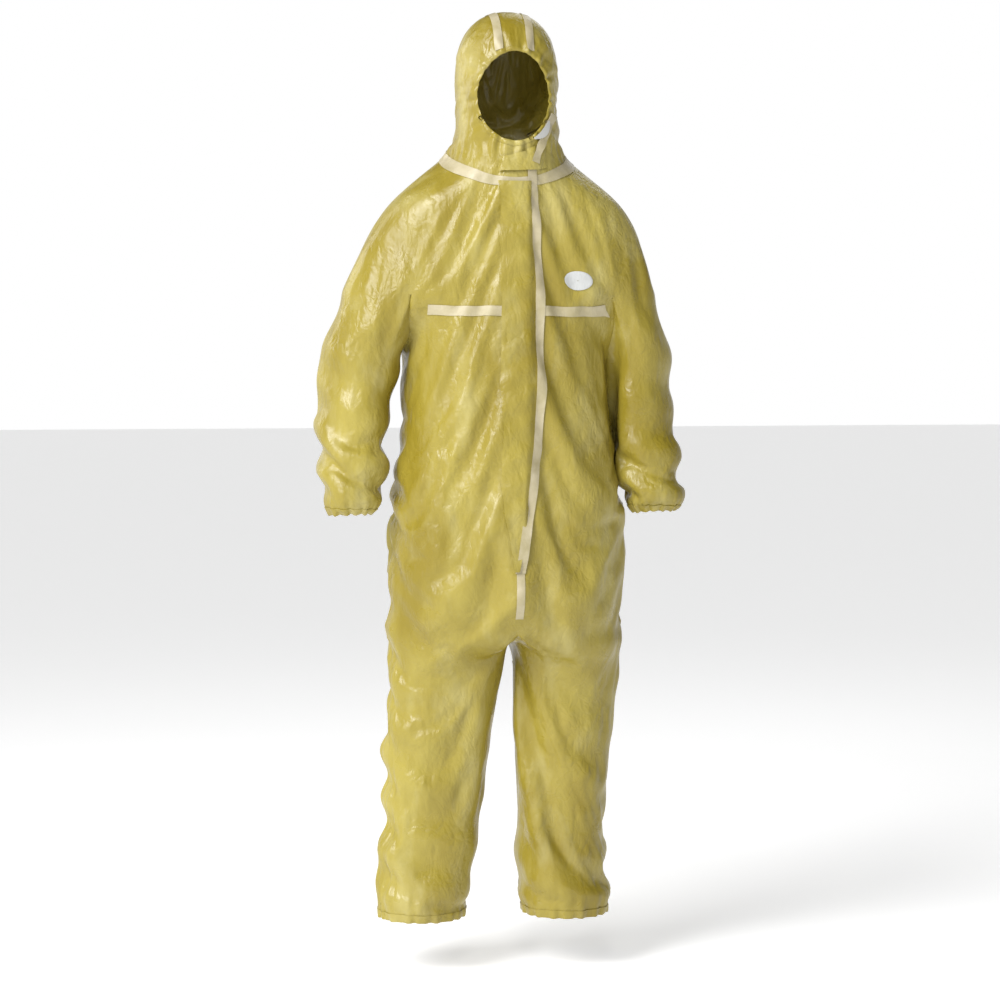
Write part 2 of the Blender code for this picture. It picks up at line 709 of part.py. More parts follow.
def make_zip():
    teeth_low, teeth_high = STOP_LENGTH + CLEAR, ZIP_LENGTH - STOP_LENGTH - CLEAR
    for name, side in SIDES.items():
        near, far = sorted((TEETH_NEAR * side, TEETH_FAR * side))
        teeth = (near, teeth_low, TEETH_BACK), (far, teeth_high, TEETH_FRONT)
        row = zip_box(f"zip_teeth_{name}", "zip_plastic", ZIP, *teeth)
        chamfer = row.modifiers.new("Chamfer", "BEVEL")
        chamfer.width = 0.0004
        stop = (near, ZIP_LENGTH - STOP_LENGTH, TEETH_BACK), (far, ZIP_LENGTH, TEETH_FRONT)
        zip_box(f"zip_top_stop_{name}", "zip_metal", ZIP, *stop)
        near, far = sorted(((TEETH_FAR + 0.0004) * side, TAPE_EDGE * side))
        band = (near, 0, TEETH_BACK), (far, ZIP_LENGTH, TEETH_BACK + TAPE)
        zip_box(f"zip_tape_{name}", "zip_fabric", ZIP, *band)
    stop = (-TEETH_FAR, 0, TEETH_BACK), (TEETH_FAR, STOP_LENGTH, TEETH_FRONT)
    zip_box("zip_bottom_stop", "zip_metal", ZIP, *stop)
    ends = (front_angle(-TAPE_WIDTH / 2), front_angle(TAPE_WIDTH / 2))
    tape("crotch_tape", TORSO, (0.04, TORSO.level(ZIP_LOW - 0.014)), ends, columns=2)


def make_slider():
    """Front and rear wings round the teeth, two ears, and the pin that the pull swings on."""
    top = ZIP_LENGTH - STOP_LENGTH - CLEAR
    low = top - SLIDER_LENGTH
    pin = low + 0.009
    slide = Joint("zip_slide", zip_frame(0, pin, 0), ZIP)
    w = SLIDER_HALF_WIDTH
    ear_in, ear_out = 0.0016, 0.0028
    rear = TEETH_BACK - CLEAR
    front_low, front_high = (-w, low, TEETH_FRONT + CLEAR), (w, top, 0.0010)
    slider = zip_box("zip_slider", "zip_metal", slide, front_low, front_high)
    pin_half, pin_round = ear_in + 0.0005, 0.0005
    pieces = {
        "rear_wing": ((-w, low, rear - 0.0015), (w, top, rear)),
        "web": ((-0.0003, low + 0.004, rear - 0.0010), (0.0003, pin, TEETH_FRONT + CLEAR + 0.0010)),
        "ear_right": ((-ear_out, pin - 0.002, 0.0005), (-ear_in, pin + 0.002, PULL_OUT + 0.0014)),
        "ear_left": ((ear_in, pin - 0.002, 0.0005), (ear_out, pin + 0.002, PULL_OUT + 0.0014)),
        "pin": (
            (-pin_half, pin - pin_round, PULL_OUT - pin_round),
            (pin_half, pin + pin_round, PULL_OUT + pin_round),
        ),
    }
    for name, corners in pieces.items():
        boolean(slider, helper(zip_box(f"slider_{name}", "zip_metal", slide, *corners)), "UNION")
    make_pull(Joint("zip_pull_pin", zip_frame(0, pin, PULL_OUT), slide), pin)


def barrel(name, radius, half_length, pin):
    """A round bar across the zip, centred on the pull's pin."""
    bm = bmesh.new()
    turn = Matrix.Rotation(pi / 2, 4, "Y")
    bmesh.ops.create_cone(
        bm, cap_ends=True, segments=20, radius1=radius, radius2=radius, depth=2 * half_length, matrix=turn
    )
    mesh = finish_bmesh(bm, name)
    mesh.transform(zip_frame(0, pin, PULL_OUT))
    return mesh


PULL_LENGTH = 0.024
PULL_HALF_WIDTH = 0.0035
EYE_HALF = 0.0012


def make_pull(joint, pin):
    """A flat tab that hangs from an eye round the slider's pin."""
    pull = joint.hold(new_object("zip_pull", "zip_metal", barrel("zip_pull", 0.0020, EYE_HALF, pin)))
    plate_low = (-PULL_HALF_WIDTH, pin - PULL_LENGTH, PULL_OUT - 0.0006)
    plate_high = (PULL_HALF_WIDTH, pin - 0.0026, PULL_OUT + 0.0008)
    neck_low = (-EYE_HALF + 0.0002, pin - 0.0040, PULL_OUT - 0.0005)
    neck_high = (EYE_HALF - 0.0002, pin - 0.0014, PULL_OUT + 0.0007)
    boolean(pull, helper(zip_box("pull_plate", "zip_metal", joint, plate_low, plate_high)), "UNION")
    boolean(pull, helper(zip_box("pull_neck", "zip_metal", joint, neck_low, neck_high)), "UNION")
    bore = joint.hold(new_object("pull_bore", "zip_metal", barrel("pull_bore", 0.0010, 2 * EYE_HALF, pin)))
    boolean(pull, helper(bore), "DIFFERENCE")


FLAP_EDGE = -0.030  # the free edge, on the wearer's right
FLAP_FOLD_LOW, FLAP_FOLD_HIGH = 0.014, 0.030  # the fold it opens on, at the zip's two ends
FLAP_OUT = 0.0062  # the flap's inner face, which clears the slider and its pull
FLAP_WALL = 0.0016
FLAP_HINGE_OUT = 0.0026
FLAP_SHOULDER = 0.008  # how far from the fold it starts to step down to the suit
FLAP_TOP = 0.006  # how far the flap ends below the zip's top


def flap_fold(along):
    return FLAP_FOLD_LOW + (FLAP_FOLD_HIGH - FLAP_FOLD_LOW) * along / ZIP_LENGTH


def flap_profile(along):
    """The flap's cross-section: flat over the zip, then down to the fold it is sewn beside."""
    fold = flap_fold(along)
    heights = (FLAP_OUT, FLAP_OUT, 0.0054, 0.0030, 0.0012)
    across = (FLAP_EDGE, fold - FLAP_SHOULDER, fold - 0.005, fold - 0.0025, fold - 0.0006)
    inner = list(zip(across, heights))
    outer = [(x, z + FLAP_WALL) for x, z in inner]
    return [(x, along, z) for x, z in inner + outer[::-1]]


def make_storm_flap():
    """A strip that covers the zip, and opens on a fold that slants in towards the crotch."""
    low, high = 0.0, ZIP_LENGTH - FLAP_TOP
    place = zip_frame(flap_fold(low), low, FLAP_HINGE_OUT)
    hinge = Joint("storm_flap_hinge", place, ZIP)
    bm = bmesh.new()
    ends = [[bm.verts.new(p) for p in flap_profile(along)] for along in (low, high)]
    for end in ends:
        bm.faces.new(end)
    for k in range(len(ends[0])):
        bm.faces.new((ends[0][k - 1], ends[0][k], ends[1][k], ends[1][k - 1]))
    mesh = finish_bmesh(bm, "storm_flap")
    mesh.transform(ZIP.matrix)
    hinge.hold(new_object("storm_flap", "laminate", mesh))
    strip_low = (FLAP_EDGE + 0.002, 0.010, FLAP_OUT - 0.0004 - TAPE)
    strip_high = (FLAP_EDGE + 0.014, high - 0.010, FLAP_OUT - 0.0004)
    zip_box("flap_adhesive", "adhesive", hinge, strip_low, strip_high)
    make_flap_tape()


FLAP_TAPE_CLEAR = 0.003  # from the fold to the tape beside it
FLAP_BOW = 0.016  # how far the tape bows out from the fold between its two ends


def sewn_edge(level):
    """The flap's sewn edge: near the fold at both ends, and bowed out between them."""
    ring = int(level)
    step = TORSO.heights[ring + 1] - TORSO.heights[ring]
    height = TORSO.heights[ring] + (level - ring) * step
    share = min(max((height - ZIP_LOW) / (ZIP_HIGH - ZIP_LOW), 0), 1)
    return flap_fold(share * ZIP_LENGTH) + FLAP_TAPE_CLEAR + FLAP_BOW * sin(pi * share ** 0.8)


def make_flap_tape():
    """The tape along the flap's sewn edge."""
    levels = (TORSO.level(ZIP_LOW - 0.010), TORSO.level(1.535))

    def edge(offset):
        return lambda level: front_angle(sewn_edge(level) + offset)(level)

    tape("flap_seam_tape", TORSO, levels, (edge(0), edge(TAPE_WIDTH)), columns=2)


CHIN_LEVELS = (HOOD.level(HOOD_LOW) + 0.02, HOOD.level(HOOD_LOW) + 0.98)
CHIN_ANGLES = (-19, 21)  # from the wearer's right, where it is free, to the sewn edge
CHIN_LIFT = 0.0052


def make_chin_flap(hood):
    """A small flap that closes the throat above the zip, sewn on the wearer's left."""
    low, high = CHIN_LEVELS
    free, sewn = CHIN_ANGLES
    place = HOOD.lifted((low + high) / 2, sewn, CHIN_LIFT - FABRIC / 2)
    hinge = Joint("chin_flap_hinge", Matrix.Translation(place), hood)
    panel("chin_flap", "laminate", hinge, HOOD, CHIN_LEVELS, CHIN_ANGLES, CHIN_LIFT, columns=6)
    inner = CHIN_LIFT - FABRIC - 0.0004
    strip = (low + 0.15, high - 0.15), (free + 2, free + 12)
    panel("chin_adhesive", "adhesive", hinge, HOOD, *strip, inner, TAPE, columns=2)


make_torso()
make_body_tapes()
make_label()
for limb_name in SIDES:
    make_sleeve(limb_name)
    make_leg(limb_name)
hood_joint = make_hood()
make_zip()
make_slider()
make_storm_flap()
make_chin_flap(hood_joint)

for obj in bpy.data.objects:
    if obj.type == "MESH" and not obj.hide_render:
        obj.data.shade_smooth()
        obj.data.set_sharp_from_angle(angle=radians(35))
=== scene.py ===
"""The looks of a hooded chemical protective suit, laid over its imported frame."""

import math

import bmesh
import bpy
import numpy as np
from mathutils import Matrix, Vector
from mathutils.bvhtree import BVHTree

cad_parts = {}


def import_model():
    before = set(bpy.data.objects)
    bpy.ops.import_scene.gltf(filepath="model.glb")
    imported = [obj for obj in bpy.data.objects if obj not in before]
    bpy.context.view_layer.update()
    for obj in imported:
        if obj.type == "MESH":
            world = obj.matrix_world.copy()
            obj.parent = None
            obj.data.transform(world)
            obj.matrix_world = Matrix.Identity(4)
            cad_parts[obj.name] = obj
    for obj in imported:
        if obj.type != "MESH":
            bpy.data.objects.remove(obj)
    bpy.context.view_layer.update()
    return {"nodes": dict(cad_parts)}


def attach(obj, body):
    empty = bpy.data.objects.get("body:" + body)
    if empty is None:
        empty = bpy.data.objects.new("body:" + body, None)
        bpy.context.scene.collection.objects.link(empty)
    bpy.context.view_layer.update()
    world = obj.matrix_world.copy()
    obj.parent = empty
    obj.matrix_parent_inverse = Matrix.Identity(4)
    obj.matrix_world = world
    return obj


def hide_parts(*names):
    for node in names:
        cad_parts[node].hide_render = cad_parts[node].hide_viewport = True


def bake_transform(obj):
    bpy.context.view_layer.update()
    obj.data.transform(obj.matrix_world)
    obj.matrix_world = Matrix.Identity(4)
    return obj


bl_info = {
    "name": "Hooded protective suit",
    "version": (1, 0, 0),
    "blender": (4, 5, 0),
    "location": "3D View > Sidebar > Suit",
    "description": "Lays film laminate, seam tapes and a zip over a protective suit's frame",
    "category": "Add Mesh",
}

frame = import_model()

# Heights are above the floor that the wearer stands on. The frame's origin is at the shoulders.
SHOULDER_HEIGHT = 1.5
HEM, CROTCH, ARMPIT, NECK, CROWN_START, CROWN = 0.102, 0.668, 1.332, 1.578, 1.803, 1.8625
CUFF = 0.894
CHEST_SEAM, BACK_SEAM = 1.290, 1.290
ZIP_LOW, ZIP_HIGH = 0.800, 1.522
SLEEVE_SPLIT, LEG_SPLIT, HIP_SPLIT = 1.150, 0.572, 0.765
SIDE_SEAM_Y, NECK_TOP = 0.0, 1.600
LEG_CUT = (0.45, 0.0, -0.893)
LEG_START, LEG_END = -0.584 + 1.5 * 0.893, -0.510 + 1.5 * 0.893
FRONT_DEPTH, FRONT_LEAN = 0.2282, 0.0703
ANKLE_X = {-1: 0.168, 1: 0.117}
SIDES = {"left": 1, "right": -1}

# Where the pieces meet at the joints: a slanted direction with its start and end, or heights at a distance
# outwards
ARM_CUT = Vector((0.8, 0.0, -0.6))
ARM_START, ARM_END = 0.268, 0.376
ELBOW_X, ELBOW_HIGH, ELBOW_LOW = 0.28, 1.145, 1.030
KNEE_X, KNEE_HIGH, KNEE_LOW = 0.12, 0.565, 0.430
# Half the front's opening at the zip, and how far the hood's seams are from its middle
SLIT = 0.0070
HOOD_SEAM = 0.031
# The storm flap's ends, its free edge and how far it stands off the front, then the chin flap's two ends
# in degrees
FLAP_BODY_LOW, FLAP_BODY_HIGH = 0.788, 1.530
FLAP_FREE = -0.031
FLAP_STAND = 0.0062
FLAP_COLUMNS, FLAP_ROWS = 16, 150
CHIN_FREE, CHIN_SEWN = -16, 30
# The draped sheet, and which of its faces each piece takes
DRAPE = {}

# height, half width, depth behind, squareness, depth before it beyond the zip's line
TRUNK = (
    (0.560, 0.224, 0.140, 2.3, -0.060),
    (0.668, 0.228, 0.145, 2.3, -0.036),
    (0.720, 0.2285, 0.148, 2.4, -0.012),
    (0.760, 0.229, 0.150, 2.4, -0.002),
    (0.850, 0.230, 0.156, 2.4, 0),
    (0.930, 0.227, 0.156, 2.4, 0),
    (1.005, 0.219, 0.152, 2.4, 0),
    (1.100, 0.209, 0.148, 2.4, 0),
    (1.200, 0.203, 0.151, 2.4, 0),
    (1.290, 0.202, 0.154, 2.4, 0),
    (1.400, 0.202, 0.154, 2.4, 0),
)
# height, half width, depth behind, tilt, squareness, depth before
YOKE = (
    (1.200, 0.345, 0.150, 0.00, 2.2, 0.140),
    (1.332, 0.309, 0.148, 0.00, 2.2, 0.1350),
    (1.380, 0.292, 0.146, 0.01, 2.2, 0.1315),
    (1.430, 0.268, 0.138, 0.03, 2.2, 0.1285),
    (1.470, 0.246, 0.128, 0.07, 2.2, 0.1260),
    (1.500, 0.222, 0.118, 0.12, 2.2, 0.1245),
    (1.530, 0.186, 0.108, 0.18, 2.2, 0.1225),
    (1.552, 0.152, 0.100, 0.24, 2.2, 0.1210),
    (1.578, 0.116, 0.094, 0.30, 2.2, 0.1200),
    (1.600, 0.107, 0.096, 0.30, 2.1, 0.117),
    (1.620, 0.103, 0.099, 0.28, 2.1, 0.115),
    (1.655, 0.101, 0.107, 0.18, 2.1, 0.112),
    (1.690, 0.101, 0.116, 0.06, 2.1, 0.112),
    (1.730, 0.103, 0.123, 0.00, 2.1, 0.113),
    (1.768, 0.101, 0.125, 0.00, 2.1, 0.111),
    (1.803, 0.092, 0.118, 0.00, 2.1, 0.103),
    (1.833, 0.073, 0.098, 0.00, 2.1, 0.084),
    (1.853, 0.048, 0.067, 0.00, 2.1, 0.056),
    (1.8625, 0.018, 0.026, 0.00, 2.1, 0.022),
)
# height, outer x, inner x, middle y, half depth
SLEEVE = (
    (0.894, 0.334, 0.256, -0.036, 0.041),
    (0.915, 0.352, 0.240, -0.034, 0.058),
    (0.970, 0.360, 0.226, -0.022, 0.073),
    (1.025, 0.358, 0.220, -0.008, 0.080),
    (1.120, 0.3495, 0.2135, 0.010, 0.085),
    (1.215, 0.343, 0.2105, 0.008, 0.090),
    (1.262, 0.334, 0.2095, 0.004, 0.096),
    (1.300, 0.322, 0.2085, 0.004, 0.102),
    (1.332, 0.309, 0.2050, 0.004, 0.112),
)
# height, half width, half depth
LEG = (
    (0.102, 0.083, 0.087),
    (0.130, 0.087, 0.092),
    (0.210, 0.0870, 0.094),
    (0.330, 0.0860, 0.096),
    (0.500, 0.0920, 0.102),
    (0.600, 0.1020, 0.109),
    (0.668, 0.111, 0.135),
)
THIGH_X, LEG_Y = 0.113, 0.004
FRONT_CELLS, OUTER_CELLS, INNER_CELLS, CROTCH_CELLS = 38, 30, 18, 18
CELL = 0.0115
SLEEVE_X = 0.205
FACE_HEIGHT, FACE_HALF_WIDTH, FACE_HALF_HEIGHT = 1.692, 0.069, 0.085
LEG_PART, SLEEVE_PART = {1: 1, -1: 2}, {1: 3, -1: 4}
TRUNK_PART, YOKE_PART, HOOD_PART = 0, 5, 6


def profile(height, table):
    """The columns of a table at a height, on a smooth curve through its rows."""
    table = np.array(table, float)
    levels = table[:, 0]
    i = int(np.clip(np.searchsorted(levels, height) - 1, 0, len(levels) - 2))
    span = levels[i + 1] - levels[i]
    t = np.clip((height - levels[i]) / span, 0, 1)
    before, after = max(i - 1, 0), min(i + 2, len(levels) - 1)
    slope_a = (table[i + 1] - table[before]) / (levels[i + 1] - levels[before])
    slope_b = (table[after] - table[i]) / (levels[after] - levels[i])
    t2, t3 = t * t, t * t * t
    row = (2 * t3 - 3 * t2 + 1) * table[i] + (t3 - 2 * t2 + t) * span * slope_a
    row = row + (3 * t2 - 2 * t3) * table[i + 1] + (t3 - t2) * span * slope_b
    return row[1:]


def smooth(t):
    """0 below 0, 1 above 1, and a smooth step between."""
    t = np.clip(t, 0, 1)
    return t * t * (3 - 2 * t)


def oval(angles, centre, half_width, front, back, power, side=1):
    """Points of a level section. 0 degrees is in front, 90 on the outer side."""
    s, c = np.sin(np.radians(angles)), np.cos(np.radians(angles))
    x = np.sign(s) * np.abs(s) ** (2 / power) * half_width
    y = -np.sign(c) * np.abs(c) ** (2 / power) * np.where(c >= 0, front, back)
    return np.stack([centre[0] + side * x, centre[1] + y], 1)


def even_angles(start, end, count, half_width, front, back, power):
    """Angles that cut a stretch of an oval into equal lengths, without the last."""
    fine = np.linspace(start, end, 400)
    path = oval(fine, (0, 0), half_width, front, back, power)
    run = np.concatenate([[0], np.cumsum(np.linalg.norm(np.diff(path, axis=0), axis=1))])
    return np.interp(np.linspace(0, run[-1], count + 1), run, fine)[:-1]


def leg_x(side, height):
    """How far out the middle of a leg is: the legs part soon below the crotch."""
    share = np.clip((CROTCH - height) / (CROTCH - HEM), 0, 1)
    return THIGH_X + (ANKLE_X[side] - THIGH_X) * share ** 0.6


def arm_shift(side, height):
    """How much further out than the frame's a sleeve hangs: the right arm is held off the body."""
    table = ((0.894, 0.012, -0.006), (0.970, 0.013, -0.014), (1.100, 0.016, -0.012), (1.215, 0.016, -0.010),
             (1.332, 0.011, -0.010), (1.440, 0.004, -0.004), (1.500, 0.0, 0.0), (1.600, 0.0, 0.0))
    out = profile(height, table)
    return side * float(out[0] if side < 0 else out[1])


class Pattern:
    """The whole suit as one sheet of quads, before it is draped."""

    def __init__(self):
        self.verts, self.faces, self.parts = [], [], []
        self.join_trunk_and_yoke()
        self.add_legs()
        self.add_sleeves()
        self.add_yoke_and_hood()

    def add(self, points):
        """Adds points and gives their numbers."""
        first = len(self.verts)
        self.verts.extend(np.asarray(points).tolist())
        return list(range(first, first + len(points)))

    def at(self, numbers):
        """The places of numbered points."""
        return np.array([self.verts[i] for i in numbers])

    def strip(self, low, high, part):
        """One closed row of quads between two loops."""
        for k in range(len(low)):
            j = (k + 1) % len(low)
            self.faces.append((low[k], low[j], high[j], high[k]))
            self.parts.append(part)

    def between(self, a, b, count, drop):
        """A line of points from one corner to another, bowed by drop in its middle."""
        share = np.linspace(0, 1, count + 1)[1:-1]
        points = np.array(self.verts[a]) + np.outer(share, np.subtract(self.verts[b], self.verts[a]))
        points[:, 2] += drop * np.sin(np.pi * share)
        return [a, *self.add(points), b]

    def tube(self, loop, heights, part, section, settle):
        """Rows below a loop, which pass from its shape to the limb's within a settling height."""
        start, previous = self.at(loop), loop
        for height in heights:
            drop = heights[0] + CELL - height
            share = smooth(drop / settle)
            target = np.column_stack([section(height), np.full(len(loop), height)])
            carried = start.copy()
            carried[:, 2] -= drop
            ring = self.add(carried * (1 - share) + target * share)
            self.strip(ring, previous, part)
            previous = ring

    def yoke_ring(self, height):
        """One row of the yoke or the hood."""
        half_width, back, tilt, power, front = profile(height, YOKE)
        points = oval(self.wide, (0, 0), half_width, front, back, power)
        for side in (1, -1):
            far = smooth((points[:, 0] * side - 0.18) / 0.09)
            points[:, 0] += far * arm_shift(side, height)
        return np.column_stack([points, height + tilt * points[:, 1]])

    def join_trunk_and_yoke(self):
        """The armpit row, and the trunk below it."""
        half_width, back, _, power, front = profile(ARMPIT, YOKE)
        corner = math.degrees(math.asin((SLEEVE_X / half_width) ** (power / 2)))
        shape = (half_width, front, back, power)
        stretches = ((-corner, corner, FRONT_CELLS), (corner, 180 - corner, OUTER_CELLS),
                     (180 - corner, 180 + corner, FRONT_CELLS), (180 + corner, 360 - corner, OUTER_CELLS))
        self.wide = np.concatenate([even_angles(*s, *shape) for s in stretches])
        ring = self.add(self.yoke_ring(ARMPIT))
        a, b, c = FRONT_CELLS, FRONT_CELLS + OUTER_CELLS, 2 * FRONT_CELLS + OUTER_CELLS
        self.armpit = {1: self.between(ring[a], ring[b], INNER_CELLS, 0.004),
                       -1: self.between(ring[c], ring[0], INNER_CELLS, 0.004)}
        self.outer = {1: ring[a:b + 1], -1: ring[c:] + ring[:1]}
        self.shoulder_ring = ring
        join = 57.0
        shape = (0.20, 0.14, 0.152, 2.4)
        angles = np.concatenate([
            even_angles(-join, join, FRONT_CELLS, *shape), even_angles(join, 180 - join, INNER_CELLS, *shape),
            even_angles(180 - join, 180 + join, FRONT_CELLS, *shape),
            even_angles(180 + join, 360 - join, INNER_CELLS, *shape)])
        top = ring[:a] + self.armpit[1][:-1] + ring[b:c] + self.armpit[-1][:-1]

        def section(height):
            half, depth, squareness, more = profile(height, TRUNK)
            return oval(angles, (0, 0), half, FRONT_DEPTH - FRONT_LEAN * height + more, depth, squareness)

        rows = 1 + round((ARMPIT - CROTCH) / CELL)
        self.tube(top, np.linspace(ARMPIT, CROTCH, rows)[1:], TRUNK_PART, section, 0.085)
        self.pelvis = list(range(len(self.verts) - len(top), len(self.verts)))

    def add_legs(self):
        """The crotch line and the two legs."""
        front, back = FRONT_CELLS // 2, FRONT_CELLS + INNER_CELLS + FRONT_CELLS // 2
        line = self.between(self.pelvis[front], self.pelvis[back], CROTCH_CELLS, -0.010)
        halves = {1: self.pelvis[front:back + 1], -1: self.pelvis[back:] + self.pelvis[:front + 1]}
        for side, half in halves.items():
            inner = line[::-1] if side > 0 else line
            ends = (-28, 208, 332) if side > 0 else (208, -28, -152)
            angles = np.concatenate([np.linspace(*ends[:2], len(half))[:-1],
                                     np.linspace(*ends[1:], len(inner))[:-1]])

            def section(height, side=side, angles=angles):
                half_width, half_depth = profile(height, LEG)
                x = leg_x(side, height)
                return oval(angles, (side * x, LEG_Y), half_width, half_depth, half_depth, 2.1, side)

            rows = 1 + round((CROTCH - HEM) / CELL)
            heights = np.linspace(CROTCH, HEM, rows)[1:]
            self.tube(half[:-1] + inner[:-1], heights, LEG_PART[side], section, 0.075)

    def add_sleeves(self):
        """The two sleeves below the armpits."""
        for side in (1, -1):
            outer, inner = self.outer[side], self.armpit[side][::-1]
            ends = (-38, 218, 322) if side > 0 else (218, -38, -142)
            angles = np.concatenate([np.linspace(*ends[:2], len(outer))[:-1],
                                     np.linspace(*ends[1:], len(inner))[:-1]])

            def section(height, side=side, angles=angles):
                far, near, y, depth = profile(height, SLEEVE)
                x = side * (far + near) / 2 + arm_shift(side, height)
                return oval(angles, (x, y), (far - near) / 2, depth, depth, 2.1, side)

            rows = 1 + round((ARMPIT - CUFF) / CELL)
            heights = np.linspace(ARMPIT, CUFF, rows)[1:]
            self.tube(outer[:-1] + inner[:-1], heights, SLEEVE_PART[side], section, 0.11)

    def add_yoke_and_hood(self):
        """The rows over the shoulders and the hood, closed at the crown."""
        previous = self.shoulder_ring
        yoke = np.linspace(ARMPIT, NECK, 25)[1:]
        hood = np.linspace(NECK, CROWN_START, 27)[1:]
        dome = CROWN_START + (CROWN - CROWN_START) * np.sin(np.linspace(0, math.pi / 2, 12))[1:]
        for height in (*yoke, *hood, *dome):
            ring = self.add(self.yoke_ring(height))
            self.strip(previous, ring, YOKE_PART if height < NECK + 1e-6 else HOOD_PART)
            previous = ring
        crown = self.add([self.at(previous).mean(0)])[0]
        for k, number in enumerate(previous):
            self.faces.append((number, previous[(k + 1) % len(previous)], crown))
            self.parts.append(HOOD_PART)


def new_object(name, verts, faces):
    """A mesh object at the origin."""
    mesh = bpy.data.meshes.new(name)
    mesh.from_pydata([tuple(v) for v in verts], [], [tuple(f) for f in faces])
    mesh.update()
    obj = bpy.data.objects.new(name, mesh)
    bpy.context.scene.collection.objects.link(obj)
    return obj


def coordinates(mesh, name=None):
    """A mesh's vertex places, or one of its vertex vector attributes, as an array."""
    data = np.empty(len(mesh.vertices) * 3)
    source = mesh.vertices if name is None else mesh.attributes[name].data
    source.foreach_get("co" if name is None else "vector", data)
    return data.reshape(-1, 3)


def vertex_normals(mesh):
    """A mesh's vertex normals as an array."""
    data = np.empty(len(mesh.vertices) * 3)
    mesh.vertex_normals.foreach_get("vector", data)
    return data.reshape(-1, 3)


def cut_along(bm, value):
    """Cuts every face along the line where value(vertex) is zero."""
    values = {v: value(v) for v in bm.verts}
    on_line = set()
    for edge in list(bm.edges):
        a, b = edge.verts
        fa, fb = values[a], values[b]
        if fa * fb < 0:
            _, vert = bmesh.utils.edge_split(edge, a, fa / (fa - fb))
            values[vert] = 0.0
            on_line.add(vert)
    faces = {f for v in on_line for f in v.link_faces}
    for face in faces:
        hits = [v for v in face.verts if v in on_line]
        if len(hits) == 2 and not any(hits[0] in e.verts and hits[1] in e.verts for e in face.edges):
            bmesh.utils.face_split(face, hits[0], hits[1])


def face_distance(co):
    """Negative inside the face opening's oval, positive outside, about in metres."""
    if co[1] > 0:
        return 1.0
    across, up = co[0] / FACE_HALF_WIDTH, (co[2] + SHOULDER_HEIGHT - FACE_HEIGHT) / FACE_HALF_HEIGHT
    return (math.hypot(across, up) - 1) * FACE_HALF_WIDTH


def wearer_form(pattern):
    """A closed-up form inside the suit, which the sheet is draped over."""
    form = new_object("form", pattern[0], pattern[1])
    mesh = form.data
    points, normals = coordinates(mesh), vertex_normals(mesh)
    sideways = np.abs(normals[:, 0]) * (np.abs(normals[:, 2]) < 0.5)
    inset = 0.024 - 0.006 * smooth(sideways) - 0.018 * smooth(normals[:, 2] * 1.5)
    arm = (np.abs(points[:, 0]) > 0.225) & (points[:, 2] < -0.1)
    inset = np.where(arm, 0.019, inset)
    hood = points[:, 2] > NECK - SHOULDER_HEIGHT - 0.03
    inset = np.clip(np.where(hood, np.minimum(inset, 0.010), inset), 0.004, 0.03)
    edges = np.array([edge.vertices[:] for edge in mesh.edges])
    points = relax(points - normals * inset[:, None], edges, 14, 0.5)
    mesh.vertices.foreach_set("co", points.ravel())
    mesh.update()
    return form


def edge_gathers(points):
    """How far the cloth stands in and out where elastic gathers it: round the face, cuffs and hems."""
    x, y, z = points.T
    height = z + SHOULDER_HEIGHT
    side = np.sign(x)
    arm = (np.abs(x) > 0.228) & (height < 1.05)
    arm_turn = np.arctan2(y + 0.03, np.abs(x) - 0.291)
    cuff = np.where(arm, np.exp(-np.maximum(height - CUFF, 0) / 0.026), 0)
    shift = 0.0024 * cuff * (np.sin(17 * arm_turn + side) + 0.4 * np.sin(29 * arm_turn))
    ankle_x = np.where(side > 0, ANKLE_X[1], ANKLE_X[-1])
    leg_turn = np.arctan2(y - LEG_Y, np.abs(x) - ankle_x)
    hem = np.where(height < 0.3, np.exp(-np.maximum(height - HEM, 0) / 0.030), 0)
    shift = shift + 0.0020 * hem * (np.sin(19 * leg_turn + 2 * side) + 0.5 * np.sin(31 * leg_turn))
    face = np.array([face_distance(p) for p in points])
    turn = np.arctan2(height - FACE_HEIGHT, x)
    near_face = np.where((height > NECK) & (y < 0), np.exp(-np.abs(face) / 0.024), 0)
    wave = np.sin(21 * turn + 0.8 * np.sin(3 * turn)) + 0.5 * np.sin(34 * turn + 1.0)
    shift = shift + 0.0026 * near_face * wave * smooth((face - 0.0) / 0.006 + 0.45)
    neck = np.exp(-((height - NECK - 0.012) / 0.016) ** 2)
    return shift + 0.0016 * neck * np.sin(30 * np.arctan2(x, -y))


def pleats(points, normals):
    """Long folds down the trunk and crossing ones on the limbs, for the cloth to settle into."""
    x, y, z = points.T
    height = z + SHOULDER_HEIGHT
    long_fold = np.sin(31 * x + 4 * z + 1.3) * np.sin(17 * y - 3 * z) + 0.6 * np.sin(53 * x - 7 * z + 21 * y)
    body = smooth((height - 0.15) / 0.1) * smooth((1.52 - height) / 0.1)
    limb = smooth((0.75 - height) / 0.1) + smooth((np.abs(x) - 0.21) / 0.02) * smooth((1.3 - height) / 0.1)
    shift = 0.0042 * body * long_fold * (1 - 0.6 * limb)
    cross = np.sin(41 * z + 19 * y + 9 * x) * np.sin(17 * z - 12 * x + 1)
    cross += 0.7 * np.sin(73 * z - 23 * y + 31 * x)
    shift = shift + 0.0040 * limb * cross * smooth((height - 0.11) / 0.04)
    hood = smooth((height - 1.60) / 0.03) * smooth((1.84 - height) / 0.04)
    shift = shift + 0.0024 * hood * np.sin(43 * z + 12 * x) * np.sin(37 * y + 20 * z)
    centre = np.where(y < 0, smooth((np.abs(x) - 0.022) / 0.03), 1)
    zip_line = (height > ZIP_LOW - 0.02) & (height < NECK)
    shift = np.where(zip_line, shift * centre, shift)
    return points + normals * shift[:, None]


